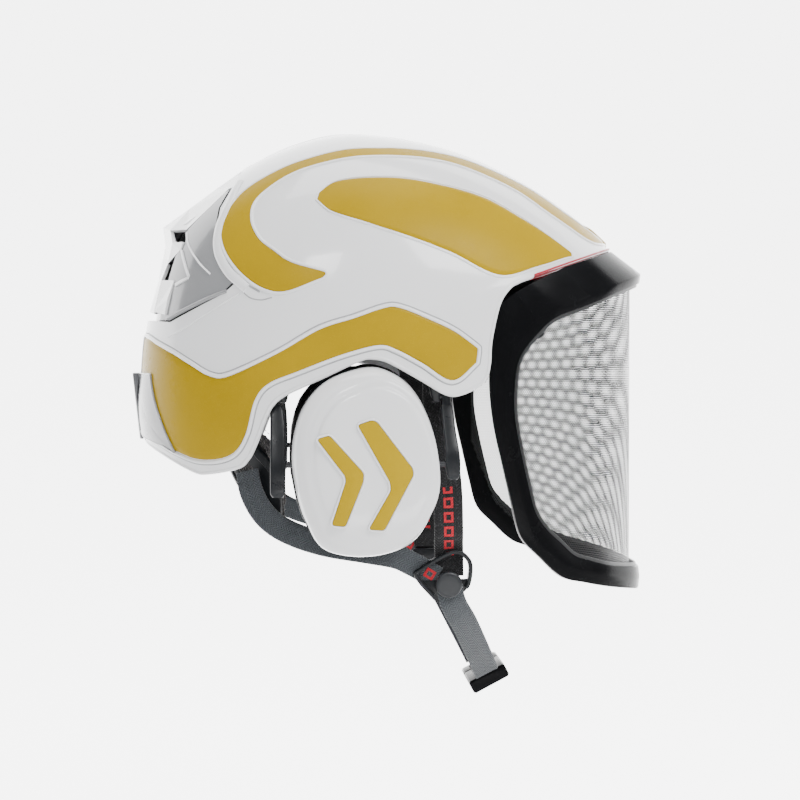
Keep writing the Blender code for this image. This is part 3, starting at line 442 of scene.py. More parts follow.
def plastic(name, colour, rough=0.3, spread=0.05, vary=0.04, bump=0.05,
            bump_scale=900.0, coat=0.0, coat_rough=0.08, blotch=18.0,
            specular=0.5, metal=0.0, fleck=None, wear=None):
    """Moulded plastic: slight colour drift, fine grain and handling marks."""
    mat, tree, shader = nodes_of(name)
    shader.inputs["Metallic"].default_value = metal
    shader.inputs["Coat Weight"].default_value = coat
    shader.inputs["Coat Roughness"].default_value = coat_rough
    shader.inputs["Specular IOR Level"].default_value = specular
    big = texture_noise(tree, blotch, 3.0)
    tone = ramp(tree, big.outputs["Fac"], [(0.3, tint(colour, 1 - vary)),
                                           (0.7, tint(colour, 1 + vary))])
    last = tone.outputs["Color"]
    if fleck:
        fine = texture_noise(tree, fleck[0], 1.0)
        mask = ramp(tree, fine.outputs["Fac"], [(fleck[1], grey(0)),
                                                (fleck[1] + 0.05, grey(1))])
        mix = add(tree, "ShaderNodeMixRGB")
        mix.inputs["Color2"].default_value = (*fleck[2], 1)
        tree.links.new(mask.outputs["Color"], mix.inputs["Fac"])
        tree.links.new(last, mix.inputs["Color1"])
        last = mix.outputs["Color"]
    if wear:
        geo = add(tree, "ShaderNodeNewGeometry")
        edge = ramp(tree, geo.outputs["Pointiness"], [(0.52, grey(0)),
                                                      (0.60, grey(wear[0]))])
        mix = add(tree, "ShaderNodeMixRGB")
        mix.inputs["Color2"].default_value = (*wear[1], 1)
        tree.links.new(edge.outputs["Color"], mix.inputs["Fac"])
        tree.links.new(last, mix.inputs["Color1"])
        last = mix.outputs["Color"]
    tree.links.new(last, shader.inputs["Base Color"])
    marks = texture_noise(tree, 60.0, 6.0, 0.7)
    level = ramp(tree, marks.outputs["Fac"], [(0.35, grey(max(0.02, rough - spread))),
                                              (0.68, grey(rough + spread))])
    tree.links.new(level.outputs["Color"], shader.inputs["Roughness"])
    if bump:
        grain = texture_noise(tree, bump_scale, 2.0)
        node = add(tree, "ShaderNodeBump", Strength=bump, Distance=0.0004)
        tree.links.new(grain.outputs["Fac"], node.inputs["Height"])
        tree.links.new(node.outputs["Normal"], shader.inputs["Normal"])
    return mat


def webbing(name, colour, pitch=0.0018, speck=None, line=None, rough=0.85):
    """Woven strap: twill ribs along and across the strap, from its UV map."""
    mat, tree, shader = nodes_of(name)
    shader.inputs["Roughness"].default_value = rough
    shader.inputs["Sheen Weight"].default_value = 0.35
    shader.inputs["Sheen Roughness"].default_value = 0.5
    shader.inputs["Specular IOR Level"].default_value = 0.25
    coord = add(tree, "ShaderNodeTexCoord")
    split = add(tree, "ShaderNodeSeparateXYZ")
    tree.links.new(coord.outputs["UV"], split.inputs["Vector"])

    def math_node(op, a, b=None, c=None):
        node = add(tree, "ShaderNodeMath", operation=op)
        for i, v in enumerate((a, b, c)):
            if v is None:
                continue
            if isinstance(v, (int, float)):
                node.inputs[i].default_value = v
            else:
                tree.links.new(v, node.inputs[i])
        return node.outputs[0]

    u, v = split.outputs["X"], split.outputs["Y"]
    # herringbone: the rib's slope turns over across the strap
    fold = math_node("PINGPONG", u, 0.0028)
    along = math_node("ADD", v, fold)
    rib = math_node("SINE", math_node("MULTIPLY", along, 2 * math.pi / pitch))
    warp = math_node("SINE", math_node("MULTIPLY", u, 2 * math.pi / 0.0009))
    height = math_node("ADD", math_node("MULTIPLY", rib, 0.5),
                       math_node("MULTIPLY", warp, 0.35))
    fuzz = texture_noise(tree, 2500.0, 2.0)
    height = math_node("ADD", height, math_node("MULTIPLY", fuzz.outputs["Fac"], 0.7))
    shade = ramp(tree, math_node("MULTIPLY_ADD", height, 0.35, 0.4),
                 [(0.1, tint(colour, 0.45)), (0.5, tint(colour, 1.0)),
                  (0.9, tint(colour, 1.55))])
    last = shade.outputs["Color"]
    if speck:
        fine = texture_noise(tree, 1400.0, 1.0)
        mask = ramp(tree, fine.outputs["Fac"], [(0.64, grey(0)), (0.70, grey(1))])
        mix = add(tree, "ShaderNodeMixRGB")
        mix.inputs["Color2"].default_value = (*speck, 1)
        tree.links.new(mask.outputs["Color"], mix.inputs["Fac"])
        tree.links.new(last, mix.inputs["Color1"])
        last = mix.outputs["Color"]
    if line:
        # a woven row of plain hollow squares down the middle of the strap
        wide = math_node("ABSOLUTE", u)
        step = math_node("ABSOLUTE", math_node("SUBTRACT", math_node(
            "FRACT", math_node("DIVIDE", v, line[2])), 0.5))
        where = math_node("LESS_THAN", wide, line[1])
        full = math_node("LESS_THAN", step, 0.36)
        hollow = math_node("MULTIPLY", math_node("LESS_THAN", wide, line[1] * 0.5),
                           math_node("LESS_THAN", step, 0.19))
        dash = math_node("SUBTRACT", full, hollow)
        start = math_node("GREATER_THAN", v, line[3])
        stop = math_node("LESS_THAN", v, line[4])
        mask = math_node("MULTIPLY", math_node("MULTIPLY", where, dash),
                         math_node("MULTIPLY", start, stop))
        mix = add(tree, "ShaderNodeMixRGB")
        mix.inputs["Color2"].default_value = (*line[0], 1)
        tree.links.new(mask, mix.inputs["Fac"])
        tree.links.new(last, mix.inputs["Color1"])
        last = mix.outputs["Color"]
    tree.links.new(last, shader.inputs["Base Color"])
    node = add(tree, "ShaderNodeBump", Strength=0.6, Distance=0.0004)
    tree.links.new(height, node.inputs["Height"])
    tree.links.new(node.outputs["Normal"], shader.inputs["Normal"])
    return mat


def knit(name, colour, speck, scale=900.0):
    """Speckled knitted fabric over foam, in object space."""
    mat, tree, shader = nodes_of(name)
    shader.inputs["Roughness"].default_value = 0.95
    shader.inputs["Sheen Weight"].default_value = 0.4
    shader.inputs["Sheen Roughness"].default_value = 0.6
    shader.inputs["Specular IOR Level"].default_value = 0.15
    coord = add(tree, "ShaderNodeTexCoord")
    cells = add(tree, "ShaderNodeTexVoronoi", Scale=scale)
    tree.links.new(coord.outputs["Object"], cells.inputs["Vector"])
    tone = ramp(tree, cells.outputs["Distance"], [(0.0, tint(colour, 1.5)),
                                                  (0.6, tint(colour, 0.5))])
    fine = texture_noise(tree, scale * 0.8, 1.0)
    mask = ramp(tree, fine.outputs["Fac"], [(0.60, grey(0)), (0.66, grey(1))])
    mix = add(tree, "ShaderNodeMixRGB")
    mix.inputs["Color2"].default_value = (*speck, 1)
    tree.links.new(mask.outputs["Color"], mix.inputs["Fac"])
    tree.links.new(tone.outputs["Color"], mix.inputs["Color1"])
    tree.links.new(mix.outputs["Color"], shader.inputs["Base Color"])
    node = add(tree, "ShaderNodeBump", Strength=0.8, Distance=0.0006)
    tree.links.new(cells.outputs["Distance"], node.inputs["Height"])
    tree.links.new(node.outputs["Normal"], shader.inputs["Normal"])
    return mat


SHELL = plastic("shell_gloss", (0.80, 0.805, 0.815), rough=0.16, spread=0.05,
                vary=0.012, bump=0.02, bump_scale=350, coat=0.3, coat_rough=0.04,
                specular=0.3)
GOLD = plastic("panel_gold", (0.350, 0.226, 0.002), rough=0.30, spread=0.05,
               vary=0.06, bump=0.10, bump_scale=2600, specular=0.06,
               fleck=(2600.0, 0.66, (0.44, 0.295, 0.006)))
GOLD_CUP = plastic("chevron_gold", (0.390, 0.258, 0.003), rough=0.42, spread=0.04,
                   vary=0.05, bump=0.10, bump_scale=2600, specular=0.06,
                   fleck=(2600.0, 0.68, (0.48, 0.33, 0.008)))
CLEAR = plastic("vent_grey", (0.24, 0.244, 0.252), rough=0.16, spread=0.05,
                vary=0.04, bump=0.02, bump_scale=300, coat=0.4, coat_rough=0.04)
CLEAR_DARK = plastic("vent_window", (0.045, 0.046, 0.05), rough=0.25, coat=0.5,
                     vary=0.05)
# painted shade: a grey for thin raised lines that stand in for the shadow in the
# grooves round the panels
GROOVE_SHADE = plastic("groove_shadow", (0.34, 0.345, 0.355), rough=0.5, vary=0.06)
CLIP = plastic("clip_grey", (0.13, 0.133, 0.142), rough=0.22, coat=0.3, vary=0.04)
BLACK = plastic("frame_black", (0.0040, 0.0042, 0.0048), rough=0.24, spread=0.06,
                vary=0.2, bump=0.06, bump_scale=1400, specular=0.04,
                wear=(0.35, (0.020, 0.021, 0.023)))
DARK = plastic("hardware_dark", (0.0070, 0.0082, 0.0100), rough=0.34, spread=0.08,
               vary=0.15, bump=0.08, bump_scale=1200, specular=0.25,
               wear=(0.4, (0.030, 0.033, 0.038)))
VINYL = plastic("cushion_vinyl", (0.0032, 0.0032, 0.0036), rough=0.40, spread=0.08,
                vary=0.2, bump=0.25, bump_scale=700, specular=0.3)
RED = plastic("seal_red", (0.36, 0.003, 0.018), rough=0.35, vary=0.1)
FOAM = plastic("liner_foam", (0.016, 0.016, 0.018), rough=0.85, spread=0.05,
               vary=0.2, bump=0.5, bump_scale=450, specular=0.2)
STEEL = plastic("pin_steel", (0.20, 0.20, 0.215), rough=0.32, metal=1.0, bump=0.05)
PAD = knit("pad_knit", (0.014, 0.011, 0.011), (0.075, 0.062, 0.058))
WEB_BLACK = webbing("webbing_black", (0.0048, 0.0048, 0.0056),
                    speck=(0.060, 0.060, 0.066),
                    line=((0.50, 0.010, 0.022), 0.0028, 0.0085, 0.080, 0.122))
WEB_GREY = webbing("webbing_grey", (0.046, 0.052, 0.058))
WEB_REAR = webbing("webbing_rear", (0.046, 0.052, 0.058),
                   line=((0.50, 0.010, 0.022), 0.0028, 0.0085, 0.128, 0.178))
RIB = plastic("vent_rib", (0.80, 0.805, 0.81), rough=0.14, vary=0.02, bump=0.02,
              bump_scale=300, coat=0.6, coat_rough=0.04)
BUTTON = plastic("button_dark", (0.016, 0.0175, 0.020), rough=0.38, vary=0.15,
                 bump=0.10, bump_scale=1600, specular=0.35)
VENT_PALE = plastic("vent_pale", (0.46, 0.465, 0.475), rough=0.18, vary=0.03,
                    bump=0.02, bump_scale=300, coat=0.3, coat_rough=0.04)

# =============================================================== outer shell
def ellipsoid(half, off, segments, rings):
    """The dome as a closed solid, with its poles at the two sides."""
    verts, faces = [], []
    for i in range(1, rings):
        rise = -math.pi / 2 + math.pi * i / rings
        s = abs(math.cos(rise)) ** (2 / POWER)
        w = abs(math.sin(rise)) ** (2 / POWER) * (1 if rise >= 0 else -1)
        for k in range(segments):
            a = 2 * math.pi * k / segments
            r = (float(radius(a)) + off) * s
            verts.append((CENTRE[0] + r * math.cos(a), half * w,
                          CENTRE[1] + r * math.sin(a)))
    n = segments
    for i in range(rings - 2):
        for k in range(n):
            faces.append((i * n + k, i * n + (k + 1) % n,
                          (i + 1) * n + (k + 1) % n, (i + 1) * n + k))
    verts.append((CENTRE[0], -half, CENTRE[1]))
    verts.append((CENTRE[0], half, CENTRE[1]))
    a, b = len(verts) - 2, len(verts) - 1
    for k in range(n):
        faces.append((k, (k + 1) % n, a))
        faces.append(((rings - 2) * n + k, (rings - 2) * n + (k + 1) % n, b))
    return verts, faces


EDGE_LINE = [tuple(p) for p in catmull(EDGE, 5)]


def dome_shading(obj, tolerance=0.4):
    """Exact normals on the faces that lie on the dome, so that gloss is clean."""
    mesh = obj.data
    count = len(mesh.vertices)
    co = np.zeros(count * 3)
    mesh.vertices.foreach_get("co", co)
    co = co.reshape(-1, 3) / MM
    f = field(co)
    onit = np.abs(f - 1) * 120 < tolerance
    exact = normals(co)
    loops = np.zeros((len(mesh.loops), 3))
    corner = np.zeros(len(mesh.loops) * 3)
    mesh.corner_normals.foreach_get("vector", corner)
    loops[:] = corner.reshape(-1, 3)
    index = np.zeros(len(mesh.loops), np.int32)
    mesh.loops.foreach_get("vertex_index", index)
    for poly in mesh.polygons:
        r = range(poly.loop_start, poly.loop_start + poly.loop_total)
        vs = index[poly.loop_start:poly.loop_start + poly.loop_total]
        if onit[vs].all():
            n = np.array(poly.normal)
            if n.dot(exact[vs[0]]) > 0.9:
                loops[list(r)] = exact[vs]
    mesh.normals_split_custom_set([tuple(v) for v in loops])


shell = make("shell_body", *ellipsoid(HALF, 0.0, 150, 75), SHELL,
             slot="shell_white", replaces=("outer_shell",), smooth=35)
cut(shell, *ellipsoid(HALF - WALL, -WALL, 120, 60))
cut(shell, *prism(EDGE_LINE + [(-165, 140), (165, 140), (165, 52)], -140, 140),
    operation="INTERSECT")
VENT = [(-170, 8), (-128, 2), (-96, 17), (-88, 24), (-95, 36), (-101, 52),
        (-99, 68), (-92, 82), (-84, 104), (-110, 104), (-170, 80)]
cut(shell, *prism(VENT, -140, 140))
shell.data.shade_smooth()
shell.data.set_sharp_from_angle(angle=math.radians(30))
dome_shading(shell)


# The rolled lower edge, one closed line round the shell.
def edge_path():
    line = resample(catmull(EDGE, 8), 1600)
    half = []
    for x, z in line:
        w = dome_width(x, z)
        if w > 0:
            half.append((x, w, z))
    right = [(x, -w, z) for x, w, z in half]
    left = [(x, w, z) for x, w, z in reversed(half)]
    return resample(np.array(right + left), 460, closed=True)


RIM = edge_path()


def rolled_edge(name, path, mat, r=1.9, out=0.3, up=1.6):
    q = on_dome(path)
    n = normals(q)
    count = len(q)
    verts = []
    for i in range(count):
        t = unit(q[(i + 1) % count] - q[i - 1])
        side = unit(np.cross(n[i], t))
        if side[2] > 0.0 and i < 0:
            side = -side
        c = q[i] - n[i] * (WALL / 2 - out) + side * up * 0.0
        for k in range(10):
            a = 2 * math.pi * k / 10
            verts.append(c + n[i] * math.cos(a) * r + side * math.sin(a) * r * 0.8)
    return make(name, verts, tube_faces(count, 10, closed_rows=True), mat,
                slot="shell_white", smooth=180)


rolled_edge("shell_rolled_edge", RIM, SHELL)

# =============================================================== gold panels
CROWN_OUT = [(139.5, 14, 53.5), (136.5, 25, 55.5), (125.3, 37, 58.5),
             (106, 45, 69), (87.4, 45, 82), (61.2, 48, 94), (36.1, 52, 102),
             (5.4, 59, 104.1), (-12.4, 63, 103.1), (-44.4, 65.5, 97.8),
             (-65.8, 65, 90.2), (-87, 66.5, 75.8), (-97.5, 75.2, 57.5),
             (-97.8, 80.4, 49), (-93.5, 88.1, 37.7), (-83.8, 96.1, 26),
             (-72, 102, 18.5), (-60, 105.8, 17.5), (-40, 108.5, 25)]
CROWN_IN = [(131, 40, 51.5), (123, 50.5, 51), (113.9, 57.5, 55),
            (93.6, 61.2, 67), (74.2, 59.5, 80.2), (54.3, 60.6, 89.3),
            (29.2, 63, 96.8), (-1.7, 69.1, 98.3), (-28.5, 73.1, 95.6),
            (-55.4, 72.8, 87.9), (-70.8, 74.8, 78.3), (-79.2, 78.1, 69.3),
            (-80.7, 84.8, 58.9), (-76.1, 92.9, 48), (-68, 98, 41),
            (-58, 103.3, 34), (-38.5, 108.7, 28)]
TEAR_LOW = [(-44, 92, 70), (-35, 97.7, 62.2), (-14.6, 102.3, 55.2),
            (1.9, 103.6, 49.7), (29.9, 103.4, 39.4), (57.7, 101.1, 26.8),
            (80, 91, 32.5), (98.5, 80, 38.8), (104.5, 76, 40.2)]
TEAR_TOP = [(-43, 90, 74), (-35, 87, 80.5), (-23.9, 86, 82.9),
            (3.5, 83.5, 84.2), (27.2, 81.7, 80.7), (51.9, 78.2, 74.6),
            (71.1, 77.9, 64.5), (90.6, 76.7, 52.1), (104.8, 75, 42.2)]
BAND_TOP = [(45.5, 106, -13.5), (32, 108.8, -4), (18, 110.5, 2.5),
            (0.8, 111.4, 9), (-8, 111.7, 8.6), (-24, 111.4, 3),
            (-43.1, 110.3, -3.2), (-66, 105.9, -16.3), (-92.7, 95.7, -28.4),
            (-104, 90, -28.6), (-116, 80, -21.5), (-128.4, 65.8, -14),
            (-142, 39.8, -6.5), (-147, 21, -5)]
BAND_LOW = [(44.8, 106, -21.5), (31, 107.4, -32), (14, 110, -22.5),
            (-1, 111.5, -14.7), (-11, 111.7, -12.5), (-31.6, 111.2, -18),
            (-54.5, 108.1, -26.8), (-70.5, 103.9, -33.4), (-78, 100.5, -42.5),
            (-83.4, 95.7, -61.8), (-92, 89, -74), (-109, 77.5, -77.4),
            (-126, 62.9, -72.5), (-139, 42, -64), (-146.5, 21, -60)]


def mirrored(points, side):
    p = np.asarray(points, float).copy()
    p[:, 1] *= side
    return p


def panel(name, low, top, side, along, across, off, node, mat=GOLD, body="helmet",
          slot="panel_gold", rim=0.8):
    """An inlay that follows the dome, its border turned down into the shell."""
    lo = resample(catmull(mirrored(low, side), 8), along + 1)
    hi = resample(catmull(mirrored(top, side), 8), along + 1)
    us = [0.0, 0.35 / along] + [i / along for i in range(1, along)] \
        + [1 - 0.35 / along, 1.0]
    ts = [0.0, 0.04] + [i / across for i in range(1, across)] + [0.96, 1.0]
    verts, offs = [], []
    for u in us:
        i = min(int(u * along), along - 1)
        f = u * along - i
        a = lo[i] * (1 - f) + lo[i + 1] * f
        b = hi[i] * (1 - f) + hi[i + 1] * f
        for t in ts:
            verts.append(a * (1 - t) + b * t)
            edge = u in (0.0, 1.0) or t in (0.0, 1.0)
            offs.append(-0.5 if edge else off)
    cols = len(ts)
    top_pts = on_dome(verts, offs)
    under = on_dome(verts, -1.2)
    n = len(verts)
    faces = tube_faces(len(us), cols, closed_cols=False)
    faces += [tuple(n + i for i in reversed(f)) for f in faces]
    ring = ([i for i in range(cols)]
            + [i * cols + cols - 1 for i in range(1, len(us))]
            + [(len(us) - 1) * cols + j for j in range(cols - 2, -1, -1)]
            + [i * cols for i in range(len(us) - 2, 0, -1)])
    for k in range(len(ring)):
        a, b = ring[k], ring[(k + 1) % len(ring)]
        faces.append((a, b, n + b, n + a))
    return make(name, np.vstack([top_pts, under]), faces, mat, body, slot,
                (node,), smooth=50)


def loop_of(low, top, side, count, grow=0.0):
    """The closed border of a panel, grown outward along the dome."""
    lo = catmull(mirrored(low, side), 8)
    hi = catmull(mirrored(top, side), 8)
    ring = resample(np.vstack([lo, hi[::-1]]), count, closed=True)
    if grow:
        q = on_dome(ring)
        n = normals(q)
        tangent = np.roll(q, -1, axis=0) - np.roll(q, 1, axis=0)
        out = np.cross(tangent, n)
        out /= np.maximum(1e-9, np.linalg.norm(out, axis=1))[:, None]
        middle = q.mean(0)
        grown = q + out * grow
        other = q - out * grow
        if path_length(other, True) > path_length(grown, True):
            grown = other
        ring = resample(grown, count, closed=True)
    return ring


for s, tag in ((-1, "r"), (1, "l")):
    panel("gold_crown_stripe_" + tag, CROWN_IN, CROWN_OUT, s, 120, 8, 0.55,
          "crown_stripe_" + tag)
    panel("gold_brow_panel_" + tag, TEAR_LOW, TEAR_TOP, s, 70, 12, 0.5,
          "brow_panel_" + tag)
    panel("gold_side_band_" + tag, BAND_LOW, BAND_TOP, s, 100, 10, 0.55,
          "side_band_" + tag)
    rims = [
        bead("rim_a", loop_of(CROWN_IN, CROWN_OUT, s, 420, 0.5), 1.9, 0.95, SHELL,
             closed=True),
        bead("rim_b", loop_of(TEAR_LOW, TEAR_TOP, s, 240, 0.3), 1.2, 0.75, SHELL,
             closed=True),
        bead("rim_c", loop_of(BAND_LOW, BAND_TOP, s, 360, 0.6), 2.2, 1.1, SHELL,
             closed=True),
    ]
    join("panel_rims_" + tag, rims)
    # grey lines of painted shade where grooves run beside the panels and over the crown
    lines = [
        bead("line_a", loop_of(BAND_LOW, BAND_TOP, s, 360, 2.1), 0.7, 0.16, GROOVE_SHADE,
             closed=True),
        bead("line_b", resample(catmull(mirrored(
            [(-30, 68.5, 103.0), (-44.4, 68.2, 99.0), (-66.5, 67.5, 91.4),
             (-88.6, 67.6, 77.2), (-99.8, 75.6, 58.4), (-100.2, 81.0, 48.6),
             (-95.6, 89.0, 36.6), (-86.6, 96.4, 24.6), (-76.0, 101.6, 17.6)],
            s), 8), 160), 1.1, 0.22, GROOVE_SHADE),
        bead("line_c", resample(catmull(mirrored(
            [(-91.0, 93.4, 25.6), (-83.0, 98.6, 15.6), (-76.0, 102.6, 13.2),
             (-69.2, 104.6, 14.4)], s), 8), 50), 0.7, 0.15, GROOVE_SHADE),
    ]
    join("panel_groove_shade_" + tag, lines)

# The gold crest at the front, where the two stripes meet on a low bump.
def crest():
    verts, faces = [], []
    rows, cols = 41, 17
    for i in range(rows):
        u = i / (rows - 1)
        a = math.atan2(86.0, 117.7) + (math.atan2(52.5, 156.0)
                                       - math.atan2(86.0, 117.7)) * u
        half = 2.5 + 11.5 * u
        rise = min(1.0, max(0.0, (u - 0.52) / 0.22))
        rise = rise * rise * (3 - 2 * rise)
        tail = min(1.0, (1 - u) / 0.05)
        for j in range(cols):
            t = -1 + 2 * j / (cols - 1)
            yy = half * t
            r = float(radius(a)) * (1 - (abs(yy) / HALF) ** POWER) ** (1 / POWER)
            off = (0.5 + 3.6 * rise * (1 - 0.35 * t * t)) * (0.4 + 0.6 * tail)
            if abs(t) > 0.9 or i == 0:
                off = -0.4
            verts.append((CENTRE[0] + (r + off) * math.cos(a), yy,
                          CENTRE[1] + (r + off) * math.sin(a)))
    n = len(verts)
    under = [tuple(np.array(v) - unit((v[0] - CENTRE[0], 0, v[2])) * 1.4)
             for v in verts]
    under = [tuple(np.array(CENTRE_POINT) + (np.array(v) - CENTRE_POINT)
                   * ((np.linalg.norm(np.array(v) - CENTRE_POINT) - 6.0)
                      / np.linalg.norm(np.array(v) - CENTRE_POINT))) for v in verts]
    faces = tube_faces(rows, cols, closed_cols=False)
    faces += [tuple(n + i for i in reversed(f)) for f in faces]
    ring = ([i for i in range(cols)]
            + [i * cols + cols - 1 for i in range(1, rows)]
            + [(rows - 1) * cols + j for j in range(cols - 2, -1, -1)]
            + [i * cols for i in range(rows - 2, 0, -1)])
    for k in range(len(ring)):
        p, q = ring[k], ring[(k + 1) % len(ring)]
        faces.append((p, q, n + q, n + p))
    return make("gold_front_crest", list(verts) + under, faces, GOLD,
                slot="panel_gold", smooth=40)


CENTRE_POINT = np.array([CENTRE[0], 0.0, CENTRE[1]])
crest()

# =============================================================== shape helpers
def refine(node, name, mat, slot, width=0.5, segments=2, angle=30, smooth=35):
    """A CAD node's own shape with small rounded edges, as a new piece."""
    source = NODES[node]
    bm = bmesh.new()
    bm.from_mesh(source.data)
    bmesh.ops.remove_doubles(bm, verts=bm.verts, dist=2e-6)
    bmesh.ops.dissolve_limit(bm, angle_limit=math.radians(1.0), verts=bm.verts[:],
                             edges=bm.edges[:])
    bm.verts.index_update()
    verts = [tuple(v.co / MM) for v in bm.verts]
    faces = [[v.index for v in f.verts] for f in bm.faces]
    bm.free()
    obj = make(name, verts, faces, mat, source["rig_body"], slot, (node,),
               smooth=smooth)
    if width:
        bevel(obj, width, segments, angle)
    return obj


def rounded(points, r, parts=3):
    """A closed ring of points with every corner turned into a short arc."""
    p = np.asarray(points, float)
    n = len(p)
    out = []
    for i in range(n):
        a, b, c = p[i - 1], p[i], p[(i + 1) % n]
        la, lc = np.linalg.norm(a - b), np.linalg.norm(c - b)
        d = min(r, la * 0.45, lc * 0.45)
        s, e = b + (a - b) / la * d, b + (c - b) / lc * d
        for k in range(parts):
            t = k / (parts - 1)
            out.append((1 - t) ** 2 * s + 2 * t * (1 - t) * b + t * t * e)
    return np.array(out)


def loft(name, rings, mat, body, slot, replaces=(), closed_path=False, smooth=35,
         caps=True):
    m = len(rings[0])
    verts = np.vstack(rings)
    faces = tube_faces(len(rings), m, closed_rows=closed_path)
    if not closed_path and caps:
        faces.append(tuple(range(m)))
        faces.append(tuple((len(rings) - 1) * m + k for k in range(m)))
    return make(name, verts, faces, mat, body, slot, replaces, smooth)


def plate(name, outline, y0, y1, mat, body, slot, replaces=(), edge=0.6,
          corner=0.0, parts=5):
    """A flat plate with rounded corners and edges, square to Y."""
    pts = [(x, 0.0, z) for x, z in outline]
    if corner:
        pts = rounded(pts, corner, parts)
    v, f = prism([(p[0], p[2]) for p in pts], y0, y1)
    obj = make(name, v, f, mat, body, slot, replaces)
    return bevel(obj, edge, 3, 40) if edge else obj


def sided(side, low, high):
    return sorted((side * low, side * high))


def rod(a, b, r, sides=20, tip=0.0):
    """Points and faces of a round bar from a to b."""
    a, b = np.asarray(a, float), np.asarray(b, float)
    t = unit(b - a)
    u = unit(np.cross(t, (0.3, 0.2, 0.9)))
    w = np.cross(t, u)
    rows = [(a, r - tip), (a + t * tip, r), (b - t * tip, r), (b, r - tip)] if tip \
        else [(a, r), (b, r)]
    verts = []
    for c, q in rows:
        for k in range(sides):
            g = 2 * math.pi * k / sides
            verts.append(c + u * q * math.cos(g) + w * q * math.sin(g))
    faces = tube_faces(len(rows), sides)
    faces.append(tuple(range(sides)))
    faces.append(tuple((len(rows) - 1) * sides + k for k in range(sides)))
    return verts, faces


# =============================================================== visor frame
VISOR_X, VISOR_A, VISOR_B, FRAME_T = 58.0, 103.0, 96.0, 5.0
FRAME_HALF = [
    ((142.5, 0, 47.6), (162.5, 0, 35.5), (160.9, 0, 29.5)),
    ((139.5, 22, 46.6), (158.5, 22, 34.5), (157.2, 22, 28.6)),
    ((129.0, 45, 43.0), (149.6, 44, 31.0), (148.4, 44.5, 25.4)),
    ((112.0, 68.5, 36.4), (131.0, 67, 24.6), (129.5, 68, 18.6)),
    ((94.0, 83.0, 30.0), (112.0, 80.5, 17.2), (111.0, 80.5, 11.5)),
    ((78.0, 92.0, 24.2), (94.0, 89.5, 10.8), (92.0, 89.8, 4.2)),
    ((68.0, 95.2, 18.6), (80.0, 93.6, 3.0), (80.0, 93.2, -6.5)),
    ((60.0, 95.4, 12.0), (69.5, 95.6, -9.0), (71.5, 94.8, -18.0)),
    ((55.2, 95.6, -6.0), (63.0, 96.4, -24.0), (68.4, 95.2, -31.0)),
    ((53.4, 95.6, -32.0), (62.0, 96.6, -44.0), (68.0, 95.2, -50.0)),
    ((55.6, 95.6, -56.0), (64.4, 96.6, -66.0), (71.4, 95.0, -70.0)),
    ((61.0, 95.6, -80.0), (69.6, 96.4, -88.0), (76.0, 94.4, -90.0)),
    ((66.2, 95.2, -102.0), (74.6, 95.8, -107.0), (80.6, 93.6, -106.5)),
    ((71.6, 94.8, -120.5), (80.6, 94.8, -122.0), (87.6, 91.8, -116.8)),
    ((83.0, 92.4, -132.5), (90.0, 92.4, -131.0), (96.0, 89.2, -124.6)),
    ((97.0, 88.4, -144.6), (101.0, 88.0, -138.6), (105.0, 85.2, -132.6)),
    ((112.0, 81.6, -149.0), (114.0, 81.0, -142.6), (116.0, 79.2, -136.6)),
    ((129.0, 69.6, -153.4), (130.0, 69.4, -147.0), (130.6, 68.4, -141.0)),
    ((148.5, 45.5, -158.4), (149.4, 45.4, -151.6), (149.0, 45.0, -145.0)),
    ((157.2, 23, -161.6), (158.4, 23, -154.4), (157.8, 23, -147.6)),
    ((159.8, 0, -162.6), (161.4, 0, -155.4), (160.6, 0, -148.6)),
]


def inward(p, d):
    x, y, z = p
    n = Vector(((x - VISOR_X) / VISOR_A ** 2 if x > VISOR_X else 0.0,
                y / VISOR_B ** 2, 0))
    if n.length < 1e-9:
        n = Vector((1, 0, 0))
    n.normalize()
    return Vector((x - n.x * d, y - n.y * d, z))


def on_plan(p, out=0.0):
    x, y, z = p
    dx = max(0.0, x - VISOR_X)
    k = 1 / math.hypot(dx / VISOR_A, y / VISOR_B)
    return inward((VISOR_X + dx * k if dx > 0 else x, y * k, z), -out)


def edge_z(x):
    for (x1, z1), (x0, z0) in zip(EDGE[:4], EDGE[1:4]):
        if x >= x0 or (x0, z0) == EDGE[3]:
            return z0 + (x - x0) * (z1 - z0) / (x1 - x0)


def brow_x(y):
    low, high = 40.0, 160.0
    for _ in range(40):
        x = (low + high) / 2
        low, high = (x, high) if dome_width(x, edge_z(x)) > y else (low, x)
    return low


def brow_rear(y, out):
    x = brow_x(y)
    n = Vector((x - 30, y * 0.9, 0)).normalized()
    return Vector((x + n.x * out, y + n.y * out, edge_z(x) - 1.0))


def frame_ring(row):
    a, b, c = row
    brow = a[2] > 18
    t = 3.6 if 60 < c[0] < 112 and c[2] > -20 else FRAME_T
    b, c = on_plan(b, 0.8), on_plan(c)
    a = Vector(a) if brow else on_plan(a)
    if b[2] > 14:
        a = brow_rear(a.y, 1.5 if b[2] > 20 else 0.9)
    back = a + Vector((-1.0, 0, -4.6)) if brow else inward(a, t)
    if brow and a[1] > 60:
        back = a + Vector((0.6, 0, -3.6))
    return np.array([tuple(q) for q in (a, b, c, inward(c, t), back)])


